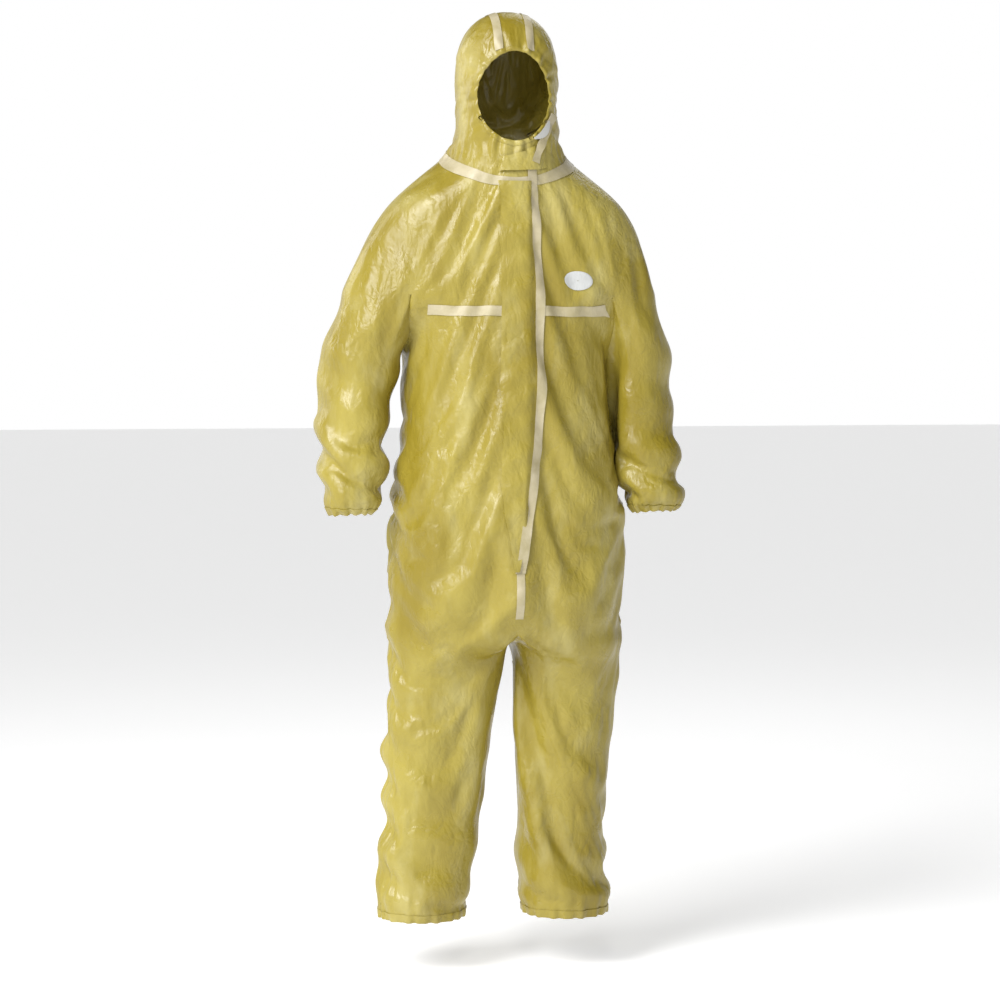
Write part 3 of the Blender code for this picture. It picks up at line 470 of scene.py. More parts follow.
def hold_weights(points):
    """How firmly each point is held while the sheet settles: 1 where it is sewn to something."""
    x, y, z = points.T
    height = z + SHOULDER_HEIGHT
    hold = np.zeros(len(points))
    hold = np.maximum(hold, (np.abs(x) > 0.228) & (height < CUFF + 0.006))
    hold = np.maximum(hold, height < HEM + 0.006)
    hold = np.maximum(hold, 0.9 * np.exp(-((height - NECK) / 0.012) ** 4))
    face = np.array([face_distance(p) for p in points])
    hold = np.where((height > NECK) & (np.abs(face) < 0.010), 1.0, hold)
    centre = (y < -0.05) & (height > ZIP_LOW - 0.015) & (height < NECK + 0.02)
    hold = np.where(centre & (np.abs(x) < 0.024), 1.0, hold)
    crotch = (np.abs(x) < 0.022) & (np.abs(height - CROTCH - 0.004) < 0.030)
    hold = np.where(crotch, 0.98, hold)
    return hold


def slack_weights(points):
    """Where the cloth has length to spare: the elbows, the knees, and above the cuffs and hems."""
    x, height = points[:, 0], points[:, 2] + SHOULDER_HEIGHT
    arm = smooth((np.abs(x) - 0.215) / 0.02) * smooth((1.24 - height) / 0.14)
    leg = smooth((0.62 - height) / 0.14)
    ankle = np.exp(-((height - 0.17) / 0.07) ** 2)
    trunk = 0.30 * (1 - leg) + 0.10 * leg
    return np.maximum(trunk, np.maximum(arm * 0.55, leg * (0.10 + 0.38 * ankle)))


def drape(obj, form, frames, growth):
    """Lets the sheet settle over the form under its own weight."""
    scene = bpy.context.scene
    group = obj.vertex_groups.new(name="held")
    weights = hold_weights(coordinates(obj.data))
    for i in np.nonzero(weights > 0.01)[0]:
        group.add([int(i)], float(weights[i]), "REPLACE")
    collision = form.modifiers.new("collision", "COLLISION")
    collision.settings.thickness_outer = 0.002
    collision.settings.cloth_friction = 8
    cloth = obj.modifiers.new("cloth", "CLOTH")
    s = cloth.settings
    s.quality = 6
    s.mass = 0.12
    s.tension_stiffness = 22
    s.compression_stiffness = 22
    s.shear_stiffness = 12
    s.bending_stiffness = 0.25
    s.tension_damping = s.compression_damping = s.shear_damping = 8
    s.bending_damping = 0.5
    s.air_damping = 2
    s.vertex_group_mass = "held"
    s.pin_stiffness = 1
    slack = obj.vertex_groups.new(name="slack")
    for i, weight in enumerate(slack_weights(coordinates(obj.data))):
        if weight > 0.01:
            slack.add([i], float(weight), "REPLACE")
    s.vertex_group_shrink = "slack"
    s.shrink_min, s.shrink_max = -growth * 0.4, -growth * 2.4
    cloth.collision_settings.collision_quality = 3
    cloth.collision_settings.distance_min = 0.003
    cloth.collision_settings.use_self_collision = False
    cloth.point_cache.frame_start, cloth.point_cache.frame_end = 1, frames
    for number in range(1, frames + 1):
        scene.frame_set(number)
    shape = obj.evaluated_get(bpy.context.evaluated_depsgraph_get())
    settled = coordinates(shape.data)
    obj.modifiers.remove(cloth)
    obj.vertex_groups.clear()
    scene.frame_set(1)
    return settled


def relax(points, edges, rounds, share):
    """Takes the finest ripples out of a set of points joined by edges."""
    count = np.bincount(edges.ravel(), minlength=len(points))[:, None]
    for _ in range(rounds):
        total = np.zeros_like(points)
        for axis in range(3):
            total[:, axis] = np.bincount(edges[:, 0], points[edges[:, 1], axis], len(points))
            total[:, axis] += np.bincount(edges[:, 1], points[edges[:, 0], axis], len(points))
        points = points + share * (total / count - points)
    return points


class Drape:
    """The draped sheet: where each place of the pattern ended up, and which way it faces."""

    def __init__(self, sheet):
        mesh = sheet.data
        self.rest, self.settled = coordinates(mesh, "rest"), coordinates(mesh)
        self.normals = vertex_normals(mesh)
        self.faces = [tuple(p.vertices) for p in mesh.polygons]
        self.parts = np.empty(len(mesh.polygons), np.int32)
        mesh.attributes["part"].data.foreach_get("value", self.parts)
        self.centres = np.array([self.rest[list(f)].mean(0) for f in self.faces])
        self.height = self.centres[:, 2] + SHOULDER_HEIGHT
        mesh.calc_loop_triangles()
        self.triangles = [tuple(t.vertices) for t in mesh.loop_triangles]
        self.tree = BVHTree.FromPolygons([Vector(p) for p in self.rest], self.triangles)

    def settle(self, place, index):
        """A place on a triangle of the pattern, carried to the draped sheet, with its normal."""
        a, b, c = self.triangles[index]
        pa, pb, pc = self.rest[a], self.rest[b], self.rest[c]
        u, v, w = pb - pa, pc - pa, np.array(place) - pa
        uu, uv, vv, wu, wv = u @ u, u @ v, v @ v, w @ u, w @ v
        scale = uu * vv - uv * uv
        s, t = (vv * wu - uv * wv) / scale, (uu * wv - uv * wu) / scale
        share = np.array((1 - s - t, s, t))
        corners = [a, b, c]
        normal = share @ self.normals[corners]
        return share @ self.settled[corners], normal / np.linalg.norm(normal)

    def cast(self, origin, direction):
        """Where a ray through the pattern lands on the draped sheet."""
        hit, _, index, _ = self.tree.ray_cast(Vector(origin), Vector(direction).normalized())
        if hit is None:
            raise RuntimeError(f"no cloth from {origin} towards {direction}")
        return self.settle(hit, index)


def front_point(x, height):
    """A ray that meets the suit's front square on."""
    return (x, -1.0, height - SHOULDER_HEIGHT), (0, 1, 0)


def back_point(x, height):
    """A ray that meets the suit's back square on."""
    return (x, 1.0, height - SHOULDER_HEIGHT), (0, -1, 0)


def ring_point(turn, height, tilt=0.0, centre=(0.0, 0.0)):
    """A ray outwards from the middle, at a turn in degrees from the front."""
    s, c = math.sin(math.radians(turn)), -math.cos(math.radians(turn))
    return (centre[0], centre[1], height - SHOULDER_HEIGHT), (s, c, tilt * c)


def shell(name, faces, points, normals, wall, inner=True):
    """Gives a piece of the sheet its wall, and keeps the whole sheet's shading at its borders."""
    used = sorted({v for face in faces for v in face})
    index = {v: i for i, v in enumerate(used)}
    outer, n = points[used], normals[used]
    count = len(used)
    polys = [[index[v] for v in face] for face in faces]
    edges = {(p[i - 1], p[i]) for p in polys for i in range(len(p))}
    rims = [(b, a, a + count, b + count) for a, b in edges if (b, a) not in edges]
    back = [[v + count for v in reversed(p)] for p in polys]
    obj = new_object(name, np.concatenate([outer, outer - n * wall]), polys + back + rims)
    mesh = obj.data
    face_normals = np.empty(len(mesh.polygons) * 3)
    mesh.polygon_normals.foreach_get("vector", face_normals)
    face_normals = face_normals.reshape(-1, 3)
    loops = np.array([v for p in polys for v in p])
    back_loops = np.array([v - count for p in back for v in p])
    rim_normals = np.repeat(face_normals[len(polys) * 2:], 4, axis=0)
    custom = np.concatenate([n[loops], -n[back_loops], rim_normals])
    mesh.shade_smooth()
    mesh.normals_split_custom_set(custom.tolist())
    if inner:
        slots = np.zeros(len(mesh.polygons), np.int32)
        slots[len(polys):2 * len(polys)] = 1
        mesh.polygons.foreach_set("material_index", slots)
    return obj


def eased(grid, rounds):
    """A grid of points or normals with its ripples averaged out and its rim kept."""
    grid = np.array(grid, float)
    for _ in range(rounds):
        grid[1:-1] = (grid[:-2] + 2 * grid[1:-1] + grid[2:]) / 4
        grid[:, 1:-1] = (grid[:, :-2] + 2 * grid[:, 1:-1] + grid[:, 2:]) / 4
    return grid


def band(name, rays, lift, wall, closed=False, rounds=0):
    """A strip laid on the draped sheet. rays is a grid of rays, lift what it stands off by."""
    rows, columns = len(rays), len(rays[0])
    laid = [[DRAPE["sheet"].cast(*ray) if len(ray) == 2 else ray[2] for ray in row] for row in rays]
    if rounds:
        places, facing = (eased([[spot[k] for spot in row] for row in laid], rounds) for k in (0, 1))
        facing /= np.linalg.norm(facing, axis=2, keepdims=True)
        laid = [list(zip(*row)) for row in zip(places, facing)]
    low, high, normals = [], [], []
    for i, row in enumerate(laid):
        for j, (place, normal) in enumerate(row):
            out = lift(i, j) if callable(lift) else lift
            low.append(place + normal * out)
            high.append(place + normal * (out + wall))
            normals.append(normal)
    low, high, normals = np.array(low), np.array(high), np.array(normals)
    faces = []
    for i in range(rows if closed else rows - 1):
        for j in range(columns - 1):
            k = (i + 1) % rows
            faces.append((i * columns + j, i * columns + j + 1, k * columns + j + 1, k * columns + j))
    a, b, c = (high[faces[0][k]] for k in range(3))
    if np.dot(np.cross(b - a, c - a), normals[faces[0][0]]) < 0:
        faces = [face[::-1] for face in faces]
    normals = grid_normals(high, faces)
    return shell(name, faces, high, normals, wall, inner=False)


def grid_normals(points, faces):
    """Vertex normals of a set of quads."""
    total = np.zeros_like(points)
    quads = np.array(faces)
    across = points[quads[:, 2]] - points[quads[:, 0]]
    along = points[quads[:, 3]] - points[quads[:, 1]]
    normal = np.cross(across, along)
    for k in range(4):
        np.add.at(total, quads[:, k], normal)
    return total / np.maximum(np.linalg.norm(total, axis=1, keepdims=True), 1e-12)


class Value:
    """A number that a material works out, so that shader maths reads as an expression."""

    def __init__(self, tree, socket):
        self.tree, self.socket = tree, socket

    def combine(self, operation, other, swapped=False):
        """This value and another one, through one step of maths."""
        node = self.tree.nodes.new("ShaderNodeMath")
        node.operation = operation
        for slot, item in zip(node.inputs, (other, self) if swapped else (self, other)):
            if isinstance(item, Value):
                self.tree.links.new(item.socket, slot)
            else:
                slot.default_value = item
        return Value(self.tree, node.outputs[0])

    def __add__(self, other):
        return self.combine("ADD", other)

    def __sub__(self, other):
        return self.combine("SUBTRACT", other)

    def __rsub__(self, other):
        return self.combine("SUBTRACT", other, True)

    def __mul__(self, other):
        return self.combine("MULTIPLY", other)

    __radd__, __rmul__ = __add__, __mul__


class Finish:
    """A material under construction."""

    def __init__(self, name, slot_colour, roughness, **constants):
        self.material = bpy.data.materials.new(name)
        self.material.use_nodes = True
        self.tree = self.material.node_tree
        self.shader = self.tree.nodes["Principled BSDF"]
        self.shader.inputs["Base Color"].default_value = (*slot_colour, 1)
        self.shader.inputs["Roughness"].default_value = roughness
        for socket, value in constants.items():
            self.shader.inputs[socket.replace("_", " ")].default_value = value
        self.place = self.node("ShaderNodeTexCoord", {}, {}, "Object")

    def node(self, kind, settings, inputs, output=0):
        """Adds a node with its settings and its sockets' values or links, and gives an output."""
        node = self.tree.nodes.new(kind)
        for name, value in settings.items():
            setattr(node, name, value)
        for name, value in inputs.items():
            if isinstance(value, Value):
                self.tree.links.new(value.socket, node.inputs[name])
            else:
                node.inputs[name].default_value = value
        return Value(self.tree, node.outputs[output])

    def stretch(self, scale, turn=(0, 0, 0)):
        """The object's coordinates, scaled and turned."""
        return self.node("ShaderNodeMapping", {}, {"Vector": self.place, "Scale": scale, "Rotation": turn})

    def noise(self, vector, scale, detail=3.0, roughness=0.5):
        """Soft noise about 0.5."""
        return self.node("ShaderNodeTexNoise", {}, {"Vector": vector, "Scale": scale, "Detail": detail,
                                                    "Roughness": roughness, "Distortion": 0.0})

    def cells(self, vector, scale):
        """Facets: 0 on their ridges, rising to their middles."""
        return self.node("ShaderNodeTexVoronoi", {"feature": "DISTANCE_TO_EDGE"},
                         {"Vector": vector, "Scale": scale})

    def fade(self, value, low, high, to_low=0.0, to_high=1.0):
        """A value's range, stretched and clamped."""
        return self.node("ShaderNodeMapRange", {}, {"Value": value, "From Min": low, "From Max": high,
                                                    "To Min": to_low, "To Max": to_high})

    def mix(self, share, a, b):
        """A colour between two others."""
        node = self.tree.nodes.new("ShaderNodeMix")
        node.data_type = "RGBA"
        for socket, value in ((node.inputs[0], share), (node.inputs[6], a), (node.inputs[7], b)):
            if isinstance(value, Value):
                self.tree.links.new(value.socket, socket)
            else:
                socket.default_value = value if isinstance(value, float) else (*value, 1)
        return Value(self.tree, node.outputs[2])

    def warp(self, vector, scale, amount):
        """Coordinates pushed about, so that a pattern on them isn't straight."""
        push = self.node("ShaderNodeTexNoise", {}, {"Vector": vector, "Scale": scale, "Detail": 1.0}, 1)
        small = self.node("ShaderNodeVectorMath", {"operation": "SCALE"}, {0: push, "Scale": amount})
        return self.node("ShaderNodeVectorMath", {"operation": "ADD"}, {0: vector, 1: small})

    def set(self, socket, value):
        """Links a value to one of the shader's inputs."""
        self.tree.links.new(value.socket, self.shader.inputs[socket])

    def bump(self, height, strength, distance):
        """Raises the surface by a height pattern."""
        normal = self.node("ShaderNodeBump", {},
                           {"Height": height, "Strength": strength, "Distance": distance})
        self.set("Normal", normal)


def laminate(name, light, mid, dark, roughness, gloss):
    """Glossy film over a fleece, crumpled into facets, with pale highlight patches painted into its colour.
    """
    f = Finish(name, mid, roughness, IOR=1.5, Specular_IOR_Level=gloss)
    long_way = f.warp(f.stretch((1.0, 1.0, 0.45)), 9.0, 0.05)
    tones = f.noise(long_way, 7.0, 4.0, 0.55)
    facets = f.cells(f.warp(f.stretch((1.0, 1.0, 0.65), (0.3, 0.5, 0.2)), 14.0, 0.09), 19.0)
    crumple = f.cells(f.warp(f.stretch((1.0, 1.0, 0.8), (0.9, 0.1, 0.7)), 40.0, 0.03), 55.0)
    folded = (f.noise(f.warp(f.stretch((1.0, 1.0, 0.6), (0.2, 0.6, 0.4)), 16.0, 0.05), 24.0, 3.0, 0.55) - 0.5)
    folded = folded.combine("ABSOLUTE", 0.0)
    patchy = f.fade(f.noise(f.place, 6.0, 2.0), 0.36, 0.60)
    base = f.mix(f.fade(tones, 0.34, 0.66), dark, light)
    # painted highlight: pale streaky patches, mixed towards a pale yellow, stand in for the film's broad
    # glossy highlights
    pale = f.fade(f.noise(long_way, 13.0, 5.0, 0.6), 0.50, 0.68)
    f.set("Base Color", f.mix(pale * 0.26, base, (0.60, 0.55, 0.28)))
    grain = f.noise(f.place, 900.0, 2.0, 0.6)
    f.set("Roughness", f.fade(f.noise(f.place, 16.0, 3.0), 0.35, 0.65, roughness - 0.07, roughness + 0.07))
    waves = f.noise(long_way, 30.0, 2.0, 0.4)
    creases = waves * 0.9 + folded * 1.5 + facets * patchy * 0.45 + crumple * patchy * 0.5
    f.bump(creases + grain * 0.03, 0.7, 0.0050)
    return f.material


def woven(name, light, dark, threads, roughness):
    """A close weave of crossing threads."""
    f = Finish(name, light, roughness, Specular_IOR_Level=0.3)
    warp, weft = (f.node("ShaderNodeTexWave", {"bands_direction": way},
                         {"Vector": f.stretch((1, 1, 1)), "Scale": threads}) for way in "XZ")
    weave = warp * 0.5 + weft * 0.5
    soil = f.fade(f.noise(f.place, 40.0, 3.0), 0.3, 0.7)
    f.set("Base Color", f.mix(weave * 0.6 + soil * 0.4, dark, light))
    f.bump(weave, 0.5, 0.0004)
    return f.material


def seam_tape(name, light, dark):
    """Heat-sealed tape: satin film with fine cross ribs and a slightly uneven bond."""
    f = Finish(name, light, 0.42, Specular_IOR_Level=0.5)
    tones = f.fade(f.noise(f.place, 30.0, 4.0), 0.3, 0.7)
    f.set("Base Color", f.mix(tones, dark, light))
    f.set("Roughness", f.fade(f.noise(f.place, 60.0, 2.0), 0.3, 0.7, 0.32, 0.52))
    bubbles = f.noise(f.warp(f.place, 60.0, 0.01), 120.0, 3.0)
    f.bump(bubbles, 0.4, 0.0014)
    return f.material


def moulded(name, colour, roughness):
    """Moulded plastic with a fine grain and rubbed edges."""
    f = Finish(name, colour, roughness)
    wear = f.fade(f.noise(f.place, 220.0, 3.0), 0.5, 0.75)
    f.set("Base Color", f.mix(wear * 0.25, colour, tuple(min(1, c * 1.35 + 0.03) for c in colour)))
    f.bump(f.noise(f.place, 1500.0, 2.0), 0.25, 0.0002)
    return f.material


def metal(name, colour, roughness):
    """Plated metal, brushed and lightly scratched."""
    f = Finish(name, colour, roughness, Metallic=1.0)
    brushed = f.noise(f.stretch((900.0, 900.0, 60.0)), 1.0, 3.0)
    f.set("Roughness", f.fade(brushed, 0.3, 0.7, roughness - 0.08, roughness + 0.12))
    f.bump(brushed, 0.2, 0.0001)
    return f.material


def paper(name, light, dark):
    """Release paper over the adhesive strips: satin, with faint fibres."""
    f = Finish(name, light, 0.5)
    fibre = f.noise(f.stretch((500.0, 500.0, 120.0)), 1.0, 4.0)
    f.set("Base Color", f.mix(fibre, dark, light))
    f.bump(fibre, 0.2, 0.0003)
    return f.material


MATERIALS = {}


def finish(obj, *names):
    """Gives an object its materials."""
    obj.data.materials.clear()
    for name in names:
        obj.data.materials.append(MATERIALS[name])


class SuitColours(bpy.types.PropertyGroup):
    """The colours of the suit's materials."""

    film_light: bpy.props.FloatVectorProperty(name="Film, light", description="Laminate where it is palest",
                                              default=(0.400, 0.326, 0.060), subtype="COLOR", min=0, max=1)
    film_mid: bpy.props.FloatVectorProperty(name="Film", description="Laminate colour",
                                            default=(0.320, 0.252, 0.032), subtype="COLOR", min=0, max=1)
    film_dark: bpy.props.FloatVectorProperty(name="Film, dark", description="Laminate where it is deepest",
                                             default=(0.262, 0.198, 0.017), subtype="COLOR", min=0, max=1)
    tape: bpy.props.FloatVectorProperty(name="Seam tape", description="Heat-sealed tape over the seams",
                                        default=(0.540, 0.475, 0.320), subtype="COLOR", min=0, max=1)


class SuitSizes(bpy.types.PropertyGroup):
    """The suit's sizes and how its cloth settles."""

    wall: bpy.props.FloatProperty(name="Laminate", description="Thickness of the laminate", default=0.0007,
                                  min=0.0002, max=0.003, unit="LENGTH")
    tape_width: bpy.props.FloatProperty(name="Tape width", description="Width of a seam tape", default=0.019,
                                        min=0.008, max=0.04, unit="LENGTH")
    growth: bpy.props.FloatProperty(name="Slack", description="How much larger the cloth is than its pattern",
                                    default=0.050, min=0.0, max=0.12, subtype="FACTOR")
    frames: bpy.props.IntProperty(name="Settling time", description="Frames that the cloth settles for",
                                  default=30, min=1, max=120)


def sizes():
    """The settings that the panel shows."""
    return bpy.context.scene.suit_sizes


class SUIT_OT_finishes(bpy.types.Operator):
    """Makes the suit's materials and gives them to the frame's own parts"""

    bl_idname = "suit.finishes"
    bl_label = "Finishes"

    def execute(self, context):
        c = context.scene.suit_colours
        light, mid, dark = tuple(c.film_light), tuple(c.film_mid), tuple(c.film_dark)
        MATERIALS.update({
            "laminate": laminate("laminate", light, mid, dark, 0.33, 0.5),
            "laminate_inside": laminate("laminate_inside", (0.34, 0.29, 0.07), (0.28, 0.23, 0.05),
                                        (0.22, 0.18, 0.03), 0.55, 0.3),
            "tape": seam_tape("tape", tuple(c.tape), (0.40, 0.345, 0.19)),
            "elastic": woven("elastic", (0.72, 0.68, 0.50), (0.45, 0.40, 0.22), 300.0, 0.75),
            "zip_fabric": woven("zip_fabric", (0.62, 0.56, 0.28), (0.40, 0.34, 0.12), 420.0, 0.8),
            "zip_plastic": moulded("zip_plastic", (0.66, 0.58, 0.22), 0.38),
            "zip_metal": metal("zip_metal", (0.70, 0.69, 0.66), 0.32),
            "adhesive": paper("adhesive", (0.62, 0.62, 0.60), (0.50, 0.50, 0.47)),
            "label": paper("label", (0.60, 0.61, 0.60), (0.46, 0.47, 0.46)),
        })
        for name, node in frame["nodes"].items():
            node.data.materials.clear()
            node.data.materials.append(MATERIALS[node_finish(name)])
        return {"FINISHED"}


def node_finish(name):
    """Which material a part of the frame has, by its name."""
    for part, finish_name in (("zip_tape", "zip_fabric"), ("teeth", "zip_plastic"), ("stop", "zip_plastic"),
                              ("zip_", "zip_metal"), ("elastic", "elastic"), ("adhesive", "adhesive"),
                              ("label", "label"), ("tape", "tape")):
        if part in name:
            return finish_name
    return "laminate"


class SUIT_OT_drape(bpy.types.Operator):
    """Cuts the suit's pattern, lets it settle over its wearer's form, and keeps the result to cut from"""

    bl_idname = "suit.drape"
    bl_label = "Draped cloth"

    def execute(self, context):
        pattern = Pattern()
        verts = np.array(pattern.verts)
        verts[:, 2] -= SHOULDER_HEIGHT
        form = wearer_form((verts, pattern.faces))
        sheet = new_object("sheet", verts, pattern.faces)
        parts = sheet.data.attributes.new("part", "INT", "FACE")
        parts.data.foreach_set("value", pattern.parts)
        cut_face_opening(sheet)
        mesh = sheet.data
        rest = coordinates(mesh)
        mesh.attributes.new("rest", "FLOAT_VECTOR", "POINT").data.foreach_set("vector", rest.ravel())
        points = pleats(rest, vertex_normals(mesh))
        mesh.vertices.foreach_set("co", points.ravel())
        mesh.update()
        points = drape(sheet, form, sizes().frames, sizes().growth)
        edges = np.array([edge.vertices[:] for edge in mesh.edges])
        points = relax(points, edges, 1, 0.3)
        mesh.vertices.foreach_set("co", points.ravel())
        mesh.update()
        bpy.data.objects.remove(form)
        subdivision = sheet.modifiers.new("subdivision", "SUBSURF")
        subdivision.levels = subdivision.render_levels = 1
        choose(sheet)
        bpy.ops.object.modifier_apply(modifier="subdivision")
        mesh = sheet.data
        gathers = edge_gathers(coordinates(mesh, "rest"))[:, None] * vertex_normals(mesh)
        mesh.vertices.foreach_set("co", (coordinates(mesh) + gathers).ravel())
        mesh.update()
        cut_at_joints(sheet)
        DRAPE["sheet"] = Drape(sheet)
        bpy.data.objects.remove(sheet)
        return {"FINISHED"}


def choose(obj):
    """Makes an object the only selected one, and the active one."""
    for other in bpy.context.selected_objects:
        other.select_set(False)
    obj.select_set(True)
    bpy.context.view_layer.objects.active = obj


def cut_face_opening(sheet):
    """Opens the hood in front."""
    bm = bmesh.new()
    bm.from_mesh(sheet.data)
    cut_along(bm, lambda v: face_distance(v.co))
    hood = NECK - SHOULDER_HEIGHT
    inside = [f for f in bm.faces
              if face_distance(f.calc_center_median()) < 0 and f.calc_center_median().z > hood]
    bmesh.ops.delete(bm, geom=inside, context="FACES")
    rim = {v for e in bm.edges if e.is_boundary for v in e.verts
           if abs(face_distance(v.co)) < 0.004 and v.co.z > hood}
    near = rim | {e.other_vert(v) for v in rim for e in v.link_edges}
    bmesh.ops.remove_doubles(bm, verts=list(near), dist=0.004)
    bm.to_mesh(sheet.data)
    bm.free()


def arm_reach(co, side):
    """How far a point lies down a sleeve, from the shoulders' height."""
    return side * co[0] * ARM_CUT.x + co[2] * ARM_CUT.z


def cut_at_joints(sheet):
    """Cuts the sheet, laid back on its pattern, where its pieces will part."""
    bm = bmesh.new()
    bm.from_mesh(sheet.data)
    rest = bm.verts.layers.float_vector["rest"]

    def from_sleeve(co, side):
        """Positive in a sleeve, zero on its cut, negative in the trunk."""
        x, below = co[0] * side, co[2] < ARMPIT - SHOULDER_HEIGHT - 0.005
        return -0.01 if x < (SLEEVE_X - 0.0005 if below else 0.15) else arm_reach(co, side) - ARM_START

    for side in (1, -1):
        cut_along(bm, lambda v, s=side: from_sleeve(v[rest], s))
        cut_along(bm, lambda v, s=side: (v[rest][0] * s - SLIT) if v[rest][1] < 0 else 1.0)
        cut_along(bm, lambda v, s=side: (v[rest][0] * s - HOOD_SEAM)
                  if v[rest][2] > NECK - SHOULDER_HEIGHT - 0.002 else 1.0)
    bm.to_mesh(sheet.data)
    bm.free()


def body_piece(name, mask, body, nodes, blend=None):
    """One laminate piece of the draped sheet, on its body and in place of its frame parts."""
    cloth = DRAPE["sheet"]
    faces = [cloth.faces[i] for i in np.nonzero(mask)[0]]
    obj = shell(name, faces, cloth.settled, cloth.normals, sizes().wall)
    finish(obj, "laminate", "laminate_inside")
    if blend is None:
        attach(obj, body)
    else:
        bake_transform(obj)
    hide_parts(*nodes)
    return obj


def cloth_masks():
    """What each face of the draped sheet belongs to."""
    cloth = DRAPE["sheet"]
    x, y, _ = cloth.centres.T
    height, parts = cloth.height, cloth.parts
    masks = {}
    sleeve_all = np.zeros(len(height), bool)
    for name, side in SIDES.items():
        reach = side * x * ARM_CUT.x + cloth.centres[:, 2] * ARM_CUT.z
        sleeve = (parts == YOKE_PART) & (reach > ARM_START) & (x * side > 0.15)
        sleeve |= parts == SLEEVE_PART[side]
        masks["upper_sleeve_" + name] = sleeve & (height > SLEEVE_SPLIT)
        masks["forearm_" + name] = sleeve & (height <= SLEEVE_SPLIT)
        sleeve_all |= sleeve
        leg = (parts == LEG_PART[side]) | ((parts == TRUNK_PART) & (height < HIP_SPLIT) & (x * side > 0))
        masks["thigh_" + name] = leg & (height > LEG_SPLIT)
        masks["shin_" + name] = leg & (height <= LEG_SPLIT)
    trunk = ((parts == TRUNK_PART) & (height >= HIP_SPLIT)) | ((parts == YOKE_PART) & ~sleeve_all)
    open_front = (np.abs(x) < SLIT) & (y < 0) & (height > ZIP_LOW) & (height < ZIP_HIGH)
    trunk &= ~open_front
    for name, side in SIDES.items():
        half = x * side > 0
        masks["front_panel_" + name] = trunk & half & (y < SIDE_SEAM_Y) & (height < CHEST_SEAM)
        masks["front_yoke_" + name] = trunk & half & (y < SIDE_SEAM_Y) & (height >= CHEST_SEAM)
        masks["back_panel_" + name] = trunk & half & (y >= SIDE_SEAM_Y) & (height < BACK_SEAM)
        masks["hood_side_" + name] = (parts == HOOD_PART) & (x * side > HOOD_SEAM) & (height > NECK_TOP)
    masks["back_yoke"] = trunk & (y >= SIDE_SEAM_Y) & (height >= BACK_SEAM)
    masks["hood_centre"] = (parts == HOOD_PART) & (np.abs(x) <= HOOD_SEAM) & (height > NECK_TOP)
    masks["neck"] = (parts == HOOD_PART) & (height <= NECK_TOP)
    return masks


def world(x, y, height):
    """A place in the frame, from its height above the floor."""
    return (x, y, height - SHOULDER_HEIGHT)


NECK_BLEND = ("suit_body", "hood", world(0, 0, 1.582), world(0, 0, 1.640))


class SUIT_OT_trunk(bpy.types.Operator):
    """Makes the front and back panels and the yokes"""

    bl_idname = "suit.trunk"
    bl_label = "Trunk"

    def execute(self, context):
        DRAPE["masks"] = masks = cloth_masks()
        for name in ("front_panel_left", "front_panel_right", "front_yoke_left", "front_yoke_right",
                     "back_panel_left", "back_panel_right", "back_yoke"):
            body_piece("film_" + name, masks[name], "suit_body", [name])
        return {"FINISHED"}


def slanted_ends(direction, start, end, side):
    """Where a bend along a slanted direction starts and ends, on one side."""
    slant = np.array(direction)
    return [tuple(slant * (reach, 0, reach) * (side, 1, 1)) for reach in (start, end)]


def knee_ends(side):
    """Where a knee's bend starts and ends."""
    return world(side * KNEE_X, 0, KNEE_HIGH), world(side * KNEE_X, 0, KNEE_LOW)


class SUIT_OT_limbs(bpy.types.Operator):
    """Makes the sleeves and the legs, each in two lengths parted at the joints"""

    bl_idname = "suit.limbs"
    bl_label = "Sleeves and legs"

    def execute(self, context):
        masks = DRAPE["masks"]
        for name, side in SIDES.items():
            for film, folds, parent, child, ends in (
                    ("upper_sleeve_", "shoulder_fold_", "suit_body", "upper_sleeve_",
                     slanted_ends(ARM_CUT, ARM_START, ARM_END, side)),
                    ("forearm_", "elbow_fold_", "upper_sleeve_" + name, "forearm_",
                     (world(side * ELBOW_X, 0, ELBOW_HIGH), world(side * ELBOW_X, 0, ELBOW_LOW))),
                    ("thigh_", "hip_fold_", "suit_body", "thigh_",
                     slanted_ends(LEG_CUT, LEG_START, LEG_END, side)),
                    ("shin_", "knee_fold_", "thigh_" + name, "shin_", knee_ends(side))):
                node = "forearm_sleeve_" if film == "forearm_" else film
                body_piece("film_" + film + name, masks[film + name], None, [folds + name, node + name],
                           (parent, child + name, *ends))
        return {"FINISHED"}


class SUIT_OT_hood(bpy.types.Operator):
    """Makes the gathered neck and the hood's centre and side panels"""

    bl_idname = "suit.hood"
    bl_label = "Hood"

    def execute(self, context):
        masks = DRAPE["masks"]
        body_piece("film_neck", masks["neck"], None, ["neck_fold"], NECK_BLEND)
        body_piece("film_hood_centre", masks["hood_centre"], None, ["hood_centre_panel"], NECK_BLEND)
        for name in SIDES:
            body_piece("film_hood_side_" + name, masks["hood_side_" + name], None, ["hood_side_" + name],
                       NECK_BLEND)
        return {"FINISHED"}


def lay_tape(name, rays, nodes, body=None, blend=None, closed=False, lift=0.0009, rounds=0):
    """A tape laid along rays, on its body."""
    obj = band(name, rays, lift, 0.0006, closed, rounds)
    finish(obj, "tape")
    if blend is None:
        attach(obj, body)
    else:
        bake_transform(obj)
    if nodes:
        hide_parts(*nodes)


def across(width, columns=5):
    """Offsets from one edge of a strip to the other."""
    return np.linspace(-width / 2, width / 2, columns)


def sewn_edge(height):
    """How far from the centre the storm flap is sewn down, by height."""
    table = ((0.780, -0.002), (0.800, 0.002), (0.860, 0.011), (0.930, 0.023), (1.000, 0.034), (1.080, 0.042),
             (1.200, 0.046), (1.350, 0.044), (1.450, 0.038), (1.530, 0.032), (1.600, 0.030))
    return float(profile(height, table)[0])


